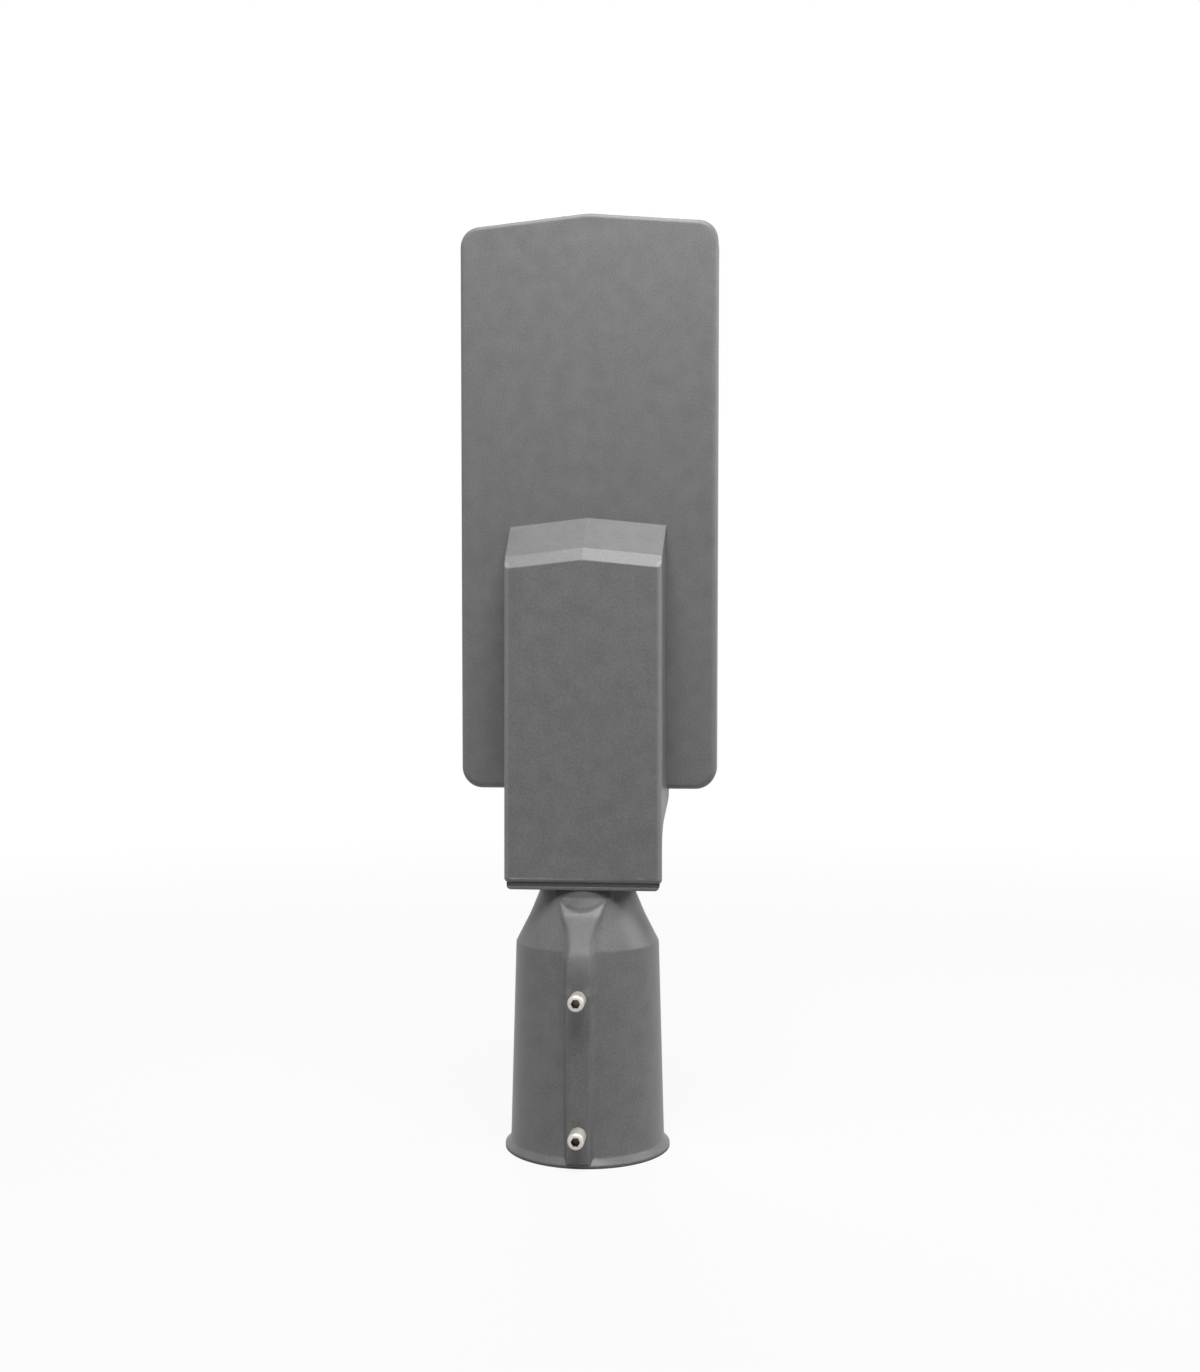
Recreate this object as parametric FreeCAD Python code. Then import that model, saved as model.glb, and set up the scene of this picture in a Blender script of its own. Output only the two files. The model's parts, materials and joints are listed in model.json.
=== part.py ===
"""LED street light head: a pole socket with its neck and tray, and a light panel with its driver hood.

Millimetres. The origin is the centre of the socket's mouth and +Z runs up the socket's axis. The sky side
looks along -Y and the light side along +Y.
"""
import FreeCAD, Part
import math
import os

V = FreeCAD.Vector

# Pole socket
POLE_DIAMETER = 60.0
POLE_CLEARANCE = 1.0
SOCKET_DEPTH = 92.0
SOCKET_WALL = 4.65
SOCKET_DRAFT = 2.55
LIP_HEIGHT = 4.3
LIP_REACH = 2.8
LIP_EDGE = 1.4
STOP_LEDGE = 4.0
STOP_THICKNESS = 9.8

# Neck and cable passage
NECK_LENGTH = 27.9
NECK_DROP = 12.9
NECK_HOLLOW = 0.7
NECK_ROUND = 40.0
SHOULDER_ROUND = 2.5
PASSAGE_WALL = 4.15
PASSAGE_CONE = 26.0

# Rib with the clamp screws
RIB_REACH = 41.0
RIB_HALF_WIDTH = 5.35
RIB_FOOT_HALF_WIDTH = 7.6
RIB_BOTTOM = 2.0
RIB_BELOW_SHOULDER = 21.8
RIB_HOLLOW = 0.08
RIB_EDGE = 0.9
RIB_SINK = 0.6
# Stations above the rib's straight run: height, less reach, half width of the front and of the foot
RIB_STATIONS = (
    (0.0, 0.0, 5.35, 9.3), (5.0, 0.0, 5.35, 9.4), (9.5, 0.0, 5.33, 9.5), (13.0, 0.23, 5.25, 9.6),
    (16.5, 0.96, 5.1, 9.8), (20.0, 2.2, 4.95, 10.0), (23.3, 4.2, 4.9, 10.3), (26.0, 5.85, 5.05, 10.8),
    (28.5, 7.35, 5.45, 11.4), (31.0, 8.8, 6.05, 11.9), (33.6, 10.25, 7.0, 12.3), (36.3, 11.8, 8.3, 12.6),
    (38.4, 13.1, 9.0, 12.8), (40.3, 14.8, 9.7, 12.9), (42.3, 16.55, 10.5, 13.0), (45.0, 18.9, 11.6, 13.1),
    (47.0, 20.8, 12.3, 13.2),
)
CLAMP_SCREW_RADIUS = 4.0
CLAMP_SCREW_LENGTH = 20.0
CLAMP_SCREW_HEX = 4.0
CLAMP_SCREW_SOCKET = 4.5
CLAMP_SCREW_CHAMFER = 0.6
CLAMP_SCREW_LOW = 15.8
CLAMP_SCREW_HIGH = 80.3
CLAMP_TIP_GAP = 0.3

# Tray under the hood
END_WALL = 6.3
TRAY_HALF_WIDTH = 37.4
TRAY_TOP_HALF_WIDTH = 38.2
TRAY_TAPER = 1.8
TRAY_DEPTH = 24.0
TRAY_WALL = 4.6
TRAY_FLOOR = 3.6
TRAY_EDGE_ROUND = 2.6
TRAY_CORNER = 2.4

# Light panel
LEDGE = 3.4
HOOD_DROP = 44.4
PANEL_LENGTH = 283.2
PANEL_PEAK = 6.0
PANEL_BOTTOM_WIDTH = 128.3
PANEL_TOP_WIDTH = 130.5
PANEL_DEPTH = 20.0
PANEL_PLATE = 4.0
PANEL_CORNER = 10.5
PANEL_PEAK_ROUND = 15.0
BACK_EDGE_ROUND = 3.0
RIM_EDGE_ROUND = 1.2

# Driver hood
HOOD_HEIGHT = 24.0
HOOD_BAND_HEIGHT = 20.0
HOOD_HALF_WIDTH = 38.5
HOOD_SIDE_SLOPE = 0.042
HOOD_ON_PANEL = 135.4
HOOD_SLOPE_RUN = 16.5
HOOD_BAND_RUN = 6.3
HOOD_CHEVRON = 0.107
HOOD_PLATE = 3.0
HOOD_WALL = 4.5
HOOD_END_CORNER = 2.0
HOOD_EDGE_ROUND = 2.2

# Seam between hood and tray
SEAM_GASKET = 1.0
SEAM_DROP = 12.0
SEAM_RISE = 0.39
SEAM_BELOW_PANEL = 4.65
SEAM_FACE_ROUND = 15.0
SEAM_PANEL_ROUND = 7.0
GASKET_WIDTH = 2.0
GASKET_INSET = 0.2

# Bolts that join the arm to the housing
BOLT_RADIUS = 2.5
BOLT_LENGTH = 31.0
BOLT_HEAD_RADIUS = 4.25
BOLT_HEAD_HEIGHT = 5.0
BOLT_HEX = 4.0
BOLT_WASHER = 1.0
BOLT_WASHER_RADIUS = 4.8
BOLT_POST_RADIUS = 5.6
BOLT_BOSS_RADIUS = 5.0
BOLT_SEAT = 13.0
BOLT_JOINT = -10.0
BOLT_INSET = 11.9
BOLT_LOW = 11.6
BOLT_HIGH = 38.0
BOLT_HOLE_GAP = 0.25
SLOT_WIDTH = 0.8
SLOT_DEPTH = 1.0
HEAD_TAPER = 0.72
CAP_HEX = 1.2
CAP_HEX_DEPTH = 0.8
THREAD_GAP = 0.05
HOLE_SPARE = 1.2

# Gear bay and its lid
LID_EDGE_ROUND = 0.6
LID_WALL = 4.5
LID_SIDE_WALL = 3.2
LID_BELOW_HOOD = 4.4
LID_THICKNESS = 3.0
LID_GASKET = 1.0
LID_GAP = 0.4
LID_CORNER = 8.0
LID_GASKET_WIDTH = 3.0
LID_SHELF_AT_TOP = 5.0
LID_SCREW_INSET = 5.2
LID_SCREW_RADIUS = 2.0
LID_SCREW_LENGTH = 10.0
LID_SCREW_END = 8.0
LID_SCREW_GAP = 1.55
DIVIDER = 4.0

# Light engine
TOP_WALL = 4.6
LENS_SHELF = 9.0
LENS_SIDE_SHELF = 10.0
LENS_SIDE_WALL = 4.15
LENS_CORNER = 6.0
LENS_GAP = 0.4
LENS_THICKNESS = 3.0
LENS_GASKET = 1.0
LENS_GASKET_WIDTH = 2.6
LENS_SCREW_RADIUS = 1.5
LENS_SCREW_INSET = 4.2
LENS_SCREW_LENGTH = 9.0
LENS_SCREW_HEAD = 2.0
ENGINE_FLOOR = 7.0
SHELF_ABOVE_FLOOR = 2.5
PAD_THICKNESS = 0.5
BOARD_THICKNESS = 1.6
BOARD_CORNER = 1.0
BOARD_GAP = 1.0
WIRE_WELL = 10.5
WELL_HALF_WIDTH = 12.0
WELL_FLOOR = 4.0
CHIP_ROWS = 6
CHIP_COLUMNS = 4
CHIP_SIZE = 5.0
CHIP_HEIGHT = 0.8
DOME_RADIUS = 7.8
DOME_HEIGHT = 4.2
DOME_CAVITY_RADIUS = 4.4
DOME_CAVITY_DEPTH = 2.6
BOARD_SCREW_RADIUS = 1.5
BOARD_SCREW_LENGTH = 6.0
BOARD_SCREW_HEAD = 1.2

# Driver
DRIVER_SIDE_GAP = 3.0
DRIVER_BELOW_FACE = 0.7
DRIVER_THICKNESS = 26.5
DRIVER_LIFT = 1.5
DRIVER_ROUND = 3.0
CAP_THICKNESS = 3.0
CAP_OVERHANG = 0.5
EAR_LENGTH = 8.6
EAR_HALF_WIDTH = 5.0
EAR_THICKNESS = 3.0
EAR_INSET = 11.0
EAR_LEVEL = 7.0
DRIVER_FROM_LID_END = 33.0
DRIVER_SCREW_RADIUS = 2.0
DRIVER_SCREW_LENGTH = 9.0
DRIVER_SCREW_HEAD = 2.4
DRIVER_BOSS_RADIUS = 4.0
DRIVER_HOLE_DEPTH = 8.0

# Leads
LEAD_RADIUS = 0.9
LEAD_OFFSET = 1.15
LEAD_HOLE_GAP = 0.15
LEAD_LEVEL = 5.2
LEAD_START_LEVEL = 2.0
LEAD_STRAIGHT = 6.0
LEAD_BEND = 0.45
LEAD_IN_TERMINAL = 4.0
GROMMET_RADIUS = 3.1
GROMMET_FLANGE_RADIUS = 4.5
GROMMET_FLANGE = 1.5
GROMMET_SLEEVE = 6.0
GROMMET_GAP = 0.1
CONNECTOR_LENGTH = 9.5
CONNECTOR_HALF_WIDTH = 5.0
CONNECTOR_GRIP = 4.0
CONNECTOR_ABOVE_BOARD = 1.1
CONNECTOR_CLEARANCE = 0.3

# Terminal block
TERMINAL_HALF_WIDTH = 20.0
TERMINAL_LENGTH = 16.0
TERMINAL_HEIGHT = 18.0
TERMINAL_CORNER = 1.0
TERMINAL_LIFT = 13.0
TERMINAL_FROM_LID_END = 5.0
TERMINAL_WAYS = 3
TERMINAL_PITCH = 12.0
TERMINAL_WIRE_HOLE = 1.6
TERMINAL_SCREW_RADIUS = 2.6
TERMINAL_SCREW_DEPTH = 6.0
TERMINAL_FIX_RADIUS = 1.5
TERMINAL_FIX_HEAD = 1.8
TERMINAL_SCREW_HEAD = 3.0
TERMINAL_SCREW_GAP = 0.4
TERMINAL_LEAD_OFFSET = 2.0
TERMINAL_BOSS_RADIUS = 4.0

# Surge protector
SURGE_WIDTH = 28.0
SURGE_LENGTH = 24.0
SURGE_THICKNESS = 16.0
SURGE_ROUND = 2.0
SURGE_EAR = 9.0
SURGE_EAR_THICKNESS = 2.5
SURGE_FROM_WALL = 12.0
SURGE_PAD_INSET = 6.0
SURGE_LEVEL = 12.0
SURGE_SCREW_LENGTH = 5.0

# Cable gland
GLAND_THREAD_RADIUS = 10.0
GLAND_HEX = 24.0
GLAND_FLANGE = 7.0
GLAND_NECK = 9.0
GLAND_BORE = 6.5
GLAND_INSIDE = 7.0
GLAND_WASHER = 1.5
GLAND_WASHER_RADIUS = 12.5
GLAND_HOLE_GAP = 0.2
GLAND_LOCK_NUT = 5.0
GLAND_DOME_LENGTH = 13.0
GLAND_DOME_OVERLAP = 8.0
GLAND_SEAL_WALL = 3.0
GLAND_SEAL_REACH = 2.0
GLAND_DOME_FACE = 0.68
GLAND_DOME_SHOULDER = 0.95
GLAND_DOME_EDGE = 1.16
GLAND_DOME_STEPS = (3.0, 5.0)
CABLE_RADIUS = 4.5

# Vent and earth screw
VENT_RADIUS = 6.0
VENT_HEAD_RADIUS = 8.0
VENT_HEAD_END_RADIUS = 6.4
VENT_HEAD = 3.5
VENT_SEAL = 1.0
VENT_SEAL_INSET = 0.5
VENT_SHANK = 10.0
VENT_BOSS_RADIUS = 9.5
VENT_BOSS = 4.0
VENT_INSET = 15.0
VENT_FROM_LID_END = 23.0
EARTH_INSET = 6.0
EARTH_FROM_LID_END = 11.5
EARTH_BOSS = 4.0
EARTH_SCREW_LENGTH = 6.0

# Heights worked out from the sizes above
BORE_RADIUS = POLE_DIAMETER / 2 + POLE_CLEARANCE
SOCKET_TOP_RADIUS = BORE_RADIUS + SOCKET_WALL
SOCKET_MOUTH_RADIUS = SOCKET_TOP_RADIUS + SOCKET_DRAFT
NECK_RADIUS = SOCKET_TOP_RADIUS - NECK_DROP
PASSAGE_RADIUS = NECK_RADIUS - PASSAGE_WALL
LIP_RADIUS = SOCKET_MOUTH_RADIUS + LIP_REACH
SHOULDER_Z = SOCKET_DEPTH + STOP_THICKNESS
TRAY_Z = SHOULDER_Z + NECK_LENGTH
BAY_Z = TRAY_Z + END_WALL
HOOD_Z = TRAY_Z + LEDGE
PANEL_Z = HOOD_Z + HOOD_DROP
TRAY_TOP_Z = PANEL_Z - SEAM_GASKET
PANEL_SHOULDER_Z = PANEL_Z + PANEL_LENGTH
HOOD_APEX_Z = PANEL_Z + HOOD_ON_PANEL
BAND_APEX_Z = HOOD_APEX_Z - HOOD_SLOPE_RUN
FACE_APEX_Z = BAND_APEX_Z - HOOD_BAND_RUN
LID_Z = PANEL_Z + LID_WALL
LID_TOP_Z = HOOD_APEX_Z - LID_BELOW_HOOD
BAY_TOP_Z = LID_TOP_Z - LID_SHELF_AT_TOP
LENS_Z = LID_TOP_Z + DIVIDER
LENS_TOP_Z = PANEL_SHOULDER_Z - TOP_WALL
ENGINE_Z = LENS_Z + LENS_SHELF
ENGINE_TOP_Z = LENS_TOP_Z - LENS_SHELF
BOARD_Z = ENGINE_Z + WIRE_WELL
BOARD_TOP_Z = ENGINE_TOP_Z - BOARD_GAP
DRIVER_Z = LID_Z + DRIVER_FROM_LID_END
DRIVER_TOP_Z = (FACE_APEX_Z - HOOD_CHEVRON * HOOD_HALF_WIDTH - DRIVER_BOSS_RADIUS - EAR_LENGTH / 2
                - DRIVER_BELOW_FACE)
TERMINAL_Z = LID_Z + TERMINAL_FROM_LID_END
TERMINAL_TOP_Z = TERMINAL_Z + TERMINAL_LENGTH

# Depths worked out from the sizes above, from the sky side to the light side
HOOD_FACE_Y = -HOOD_HEIGHT
HOOD_INSIDE_Y = HOOD_FACE_Y + HOOD_PLATE
TRAY_RIM_Y = HOOD_INSIDE_Y + SEAM_GASKET
DRIVER_BACK_Y = HOOD_INSIDE_Y + DRIVER_LIFT
DRIVER_FRONT_Y = DRIVER_BACK_Y + DRIVER_THICKNESS
EAR_Y = HOOD_INSIDE_Y + EAR_LEVEL
TERMINAL_BACK_Y = HOOD_INSIDE_Y + TERMINAL_LIFT
TERMINAL_FRONT_Y = TERMINAL_BACK_Y + TERMINAL_HEIGHT
LID_BACK_Y = PANEL_DEPTH - LID_THICKNESS
LID_SHELF_Y = LID_BACK_Y - LID_GASKET
LENS_SHELF_Y = ENGINE_FLOOR + SHELF_ABOVE_FLOOR
LENS_BACK_Y = LENS_SHELF_Y + LENS_GASKET
LENS_FRONT_Y = LENS_BACK_Y + LENS_THICKNESS
BOARD_BACK_Y = ENGINE_FLOOR + PAD_THICKNESS
BOARD_FRONT_Y = BOARD_BACK_Y + BOARD_THICKNESS

# Half widths worked out from the sizes above
HOOD_ROOM_HALF_WIDTH = HOOD_HALF_WIDTH - HOOD_WALL
TRAY_ROOM_HALF_WIDTH = TRAY_HALF_WIDTH - TRAY_WALL
LID_POCKET_HALF_WIDTH = PANEL_BOTTOM_WIDTH / 2 - LID_SIDE_WALL
LID_SCREW_X = LID_POCKET_HALF_WIDTH - LID_SCREW_INSET
BAY_HALF_WIDTH = LID_SCREW_X - LID_SCREW_RADIUS - LID_SCREW_GAP - LID_GASKET_WIDTH - GASKET_INSET
LENS_POCKET_HALF_WIDTH = min(PANEL_BOTTOM_WIDTH, PANEL_TOP_WIDTH) / 2 - LENS_SIDE_WALL
ENGINE_HALF_WIDTH = LENS_POCKET_HALF_WIDTH - LENS_SIDE_SHELF
BOARD_HALF_WIDTH = ENGINE_HALF_WIDTH - BOARD_GAP
BOLT_X = HOOD_HALF_WIDTH - BOLT_INSET
DRIVER_HALF_WIDTH = HOOD_ROOM_HALF_WIDTH - DRIVER_SIDE_GAP
EAR_SPREAD = DRIVER_HALF_WIDTH - EAR_INSET
VENT_X = BAY_HALF_WIDTH - VENT_INSET
EARTH_X = BAY_HALF_WIDTH - EARTH_INSET

# Margins by which cutting shapes run past what they cut
PAST = 20.0
JUST_PAST = 1.0

X_AXIS = V(1, 0, 0)
Y_AXIS = V(0, 1, 0)
Z_AXIS = V(0, 0, 1)


def unit(vector):
    return vector * (1.0 / vector.Length)


def plan_at(y):
    """Places flat points (x, z) at depth y."""
    return lambda point: V(point.x, y, point.y)


def side_at(x):
    """Places flat points (y, z) at x."""
    return lambda point: V(x, point.x, point.y)


def level_at(z):
    """Places flat points (x, y) at height z."""
    return lambda point: V(point.x, point.y, z)


def rounded_corner(before, corner, after):
    """Start, middle and end of the arc that rounds a corner given as (u, v, radius)."""
    here = V(corner[0], corner[1], 0)
    radius = corner[2]
    if radius <= 0:
        return here, here, here
    back = unit(V(before[0], before[1], 0) - here)
    onward = unit(V(after[0], after[1], 0) - here)
    half = back.getAngle(onward) / 2
    inward = unit(back + onward)
    centre = here + inward * (radius / math.sin(half))
    reach = radius / math.tan(half)
    return here + back * reach, centre - inward * radius, here + onward * reach


def outline(corners, place):
    """Closed wire through corners given as (u, v, radius)."""
    count = len(corners)
    arcs = [rounded_corner(corners[i - 1], corners[i], corners[(i + 1) % count]) for i in range(count)]
    edges = []
    for i in range(count):
        start, middle, end = arcs[i]
        following = arcs[(i + 1) % count][0]
        if start != end:
            edges.append(Part.Arc(place(start), place(middle), place(end)).toShape())
        if (following - end).Length > 1e-6:
            edges.append(Part.LineSegment(place(end), place(following)).toShape())
    return Part.Wire(edges)


def rectangle(half_width, low, high, radius=0.0):
    return [(-half_width, low, radius), (half_width, low, radius),
            (half_width, high, radius), (-half_width, high, radius)]


def slab(corners, y_from, y_to):
    """Plan outline in x and z, as thick as from y_from to y_to."""
    return Part.Face(outline(corners, plan_at(y_from))).extrude(V(0, y_to - y_from, 0))


def sideways(corners, half_width):
    """Side outline in y and z, drawn out to both sides."""
    return Part.Face(outline(corners, side_at(-half_width))).extrude(V(2 * half_width, 0, 0))


def block(x_from, x_to, y_from, y_to, z_from, z_to):
    return Part.makeBox(x_to - x_from, y_to - y_from, z_to - z_from, V(x_from, y_from, z_from))


def rod(radius, start, axis, length):
    return Part.makeCylinder(radius, length, start, axis)


def along_y(radius, x, z, y_from, y_to):
    return rod(radius, V(x, min(y_from, y_to), z), Y_AXIS, abs(y_to - y_from))


def hexagon(across_flats, start, axis, length):
    """Hexagonal prism about an axis that is Y or Z."""
    radius = across_flats / math.sqrt(3)
    across = X_AXIS
    upward = axis.cross(across)
    points = []
    for turn in range(7):
        angle = math.radians(60 * turn)
        points.append(start + across * (radius * math.cos(angle)) + upward * (radius * math.sin(angle)))
    return Part.Face(Part.makePolygon(points)).extrude(axis * length)


def revolved(points, base):
    """Solid of revolution about Z through base, from a closed outline of (radius, height) points."""
    wire = Part.makePolygon([base + V(r, 0, z) for r, z in points + points[:1]])
    return Part.Face(wire).revolve(base, Z_AXIS, 360)


def edges_where(shape, test):
    return [edge for edge in shape.Edges if test(edge)]


def ends_of(edge):
    return [vertex.Point for vertex in edge.Vertexes]


def all_at(edge, read, value, tolerance=1e-4):
    """True if both ends and the middle of an edge lie where read gives this value."""
    middle = edge.valueAt((edge.FirstParameter + edge.LastParameter) / 2)
    return all(abs(read(point) - value) < tolerance for point in ends_of(edge) + [middle])


def fused(shapes):
    return shapes[0].multiFuse(shapes[1:]).removeSplitter()


def screw_places(half_width, low, high):
    """Corner places and mid places on the two long sides."""
    middle = (low + high) / 2
    return [(side * half_width, z) for side in (-1, 1) for z in (low, middle, high)]


def panel_corners():
    half_bottom = PANEL_BOTTOM_WIDTH / 2
    half_top = PANEL_TOP_WIDTH / 2
    return [(-half_bottom, PANEL_Z, PANEL_CORNER), (half_bottom, PANEL_Z, PANEL_CORNER),
            (half_top, PANEL_SHOULDER_Z, PANEL_CORNER),
            (0, PANEL_SHOULDER_Z + PANEL_PEAK, PANEL_PEAK_ROUND),
            (-half_top, PANEL_SHOULDER_Z, PANEL_CORNER)]


def panel_block():
    """The flat panel, with rounded back and rim edges."""
    panel = slab(panel_corners(), 0, PANEL_DEPTH)
    back = edges_where(panel, lambda edge: all_at(edge, lambda p: p.y, 0))
    panel = panel.makeFillet(BACK_EDGE_ROUND, back)
    rim = edges_where(panel, lambda edge: all_at(edge, lambda p: p.y, PANEL_DEPTH))
    return panel.makeFillet(RIM_EDGE_ROUND, rim)


def hood_shape(inset):
    """Hood between its side walls, or with an inset the room under it.

    The side view is drawn out and down from the ridge on both halves, which gives the low chevron.
    """
    low = TRAY_Z - PAST - inset
    deep = SEAM_DROP + inset
    corners = [(deep, low, 0), (deep, HOOD_APEX_Z, 0), (0, HOOD_APEX_Z, 0),
               (-HOOD_BAND_HEIGHT, BAND_APEX_Z, 0), (HOOD_FACE_Y, FACE_APEX_Z, 0), (HOOD_FACE_Y, low, 0)]
    wire = outline(corners, side_at(0))
    if inset > 0:
        wire = wire.makeOffset2D(-inset)
    reach = HOOD_HALF_WIDTH + PAST
    halves = [Part.Face(wire).extrude(V(side * reach, 0, -reach * HOOD_CHEVRON)) for side in (1, -1)]
    return fused(halves)


def hood_sides():
    """Prism between the hood's side walls, which lean outwards towards the panel."""
    top = HOOD_APEX_Z + PAST
    lean = HOOD_SIDE_SLOPE * (HOOD_HEIGHT + SEAM_DROP)
    wires = []
    for y, half_width in ((HOOD_FACE_Y, HOOD_HALF_WIDTH), (SEAM_DROP, HOOD_HALF_WIDTH + lean)):
        corners = [(-half_width, HOOD_Z, HOOD_END_CORNER), (half_width, HOOD_Z, HOOD_END_CORNER),
                   (half_width, top, 0), (-half_width, top, 0)]
        wires.append(outline(corners, plan_at(y)))
    return Part.makeLoft(wires, True, True)


def seam_line(y):
    """Height of the seam's straight slanted run at depth y."""
    return PANEL_Z - SEAM_BELOW_PANEL - SEAM_RISE * (SEAM_DROP - y)


def hood_side_of_seam():
    """Everything on the hood's side of the seam."""
    high = PANEL_SHOULDER_Z
    far = HOOD_FACE_Y - PAST
    return sideways([(far, 0, 0), (HOOD_INSIDE_Y, 0, 0),
                     (HOOD_INSIDE_Y, seam_line(HOOD_INSIDE_Y), SEAM_FACE_ROUND),
                     (SEAM_DROP, seam_line(SEAM_DROP), SEAM_PANEL_ROUND),
                     (SEAM_DROP, high, 0), (far, high, 0)], PANEL_TOP_WIDTH)


def tray_side_of_seam():
    """Everything on the tray's side of the seam, one gasket thickness away from the hood."""
    high = TRAY_TOP_Z + PAST
    far = TRAY_DEPTH + PAST
    drop = SEAM_GASKET * math.sqrt(1 + SEAM_RISE ** 2)
    deep = SEAM_DROP + SEAM_GASKET
    return sideways([(TRAY_RIM_Y, TRAY_Z - PAST, 0),
                     (TRAY_RIM_Y, seam_line(TRAY_RIM_Y) - drop, SEAM_FACE_ROUND - SEAM_GASKET),
                     (deep, seam_line(deep) - drop, SEAM_PANEL_ROUND + SEAM_GASKET),
                     (deep, high, 0), (far, high, 0), (far, TRAY_Z - PAST, 0)], PANEL_TOP_WIDTH)


def hood_block():
    hood = hood_shape(0).common(hood_sides()).common(hood_side_of_seam())

    def is_face_border(edge):
        points = ends_of(edge)
        above_end = max(p.z for p in points) > HOOD_Z - 1e-4
        on_face = all_at(edge, lambda p: p.y, HOOD_FACE_Y)
        is_crest = all(p.z > FACE_APEX_Z - HOOD_CHEVRON * HOOD_HALF_WIDTH - 1e-3 for p in points)
        return above_end and on_face and not is_crest

    return hood.makeFillet(HOOD_EDGE_ROUND, edges_where(hood, is_face_border))


def bolt_places():
    return [(side * BOLT_X, TRAY_Z + height) for side in (-1, 1) for height in (BOLT_LOW, BOLT_HIGH)]


def driver_screw_places():
    offset = EAR_LENGTH / 2
    return [(side * EAR_SPREAD, z) for side in (-1, 1)
            for z in (DRIVER_Z - offset, DRIVER_TOP_Z + offset)]


def terminal_screw_places():
    return [(side * TERMINAL_PITCH / 2, (TERMINAL_Z + TERMINAL_TOP_Z) / 2) for side in (-1, 1)]


def lid_screw_places():
    return screw_places(LID_SCREW_X, LID_Z + LID_SCREW_END, LID_TOP_Z - LID_SCREW_END)


def lens_screw_places():
    """Screws round the lens plate: three on each long side and two on each end."""
    x = LENS_POCKET_HALF_WIDTH - LENS_SCREW_INSET
    low = LENS_Z + LENS_SCREW_INSET
    high = LENS_TOP_Z - LENS_SCREW_INSET
    middle = (low + high) / 2
    corners_and_sides = [(side * x, z) for side in (-1, 1) for z in (low, middle, high)]
    ends = [(side * x / 3, z) for side in (-1, 1) for z in (low, high)]
    return corners_and_sides + ends


def board_screw_places():
    """Board screws stand between the chips."""
    step_x, step_z = chip_steps()
    middle = (BOARD_Z + BOARD_TOP_Z) / 2
    return [(side * step_x, middle + row * step_z) for side in (-1, 1) for row in (-2, 0, 2)]


def chip_steps():
    return 2 * BOARD_HALF_WIDTH / CHIP_COLUMNS, (BOARD_TOP_Z - BOARD_Z) / CHIP_ROWS


def chip_places():
    step_x, step_z = chip_steps()
    return [(-BOARD_HALF_WIDTH + (column + 0.5) * step_x, BOARD_Z + (row + 0.5) * step_z)
            for column in range(CHIP_COLUMNS) for row in range(CHIP_ROWS)]


def way_places():
    """Places across the terminal block of its ways."""
    return [(index - (TERMINAL_WAYS - 1) / 2) * TERMINAL_PITCH for index in range(TERMINAL_WAYS)]


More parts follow.
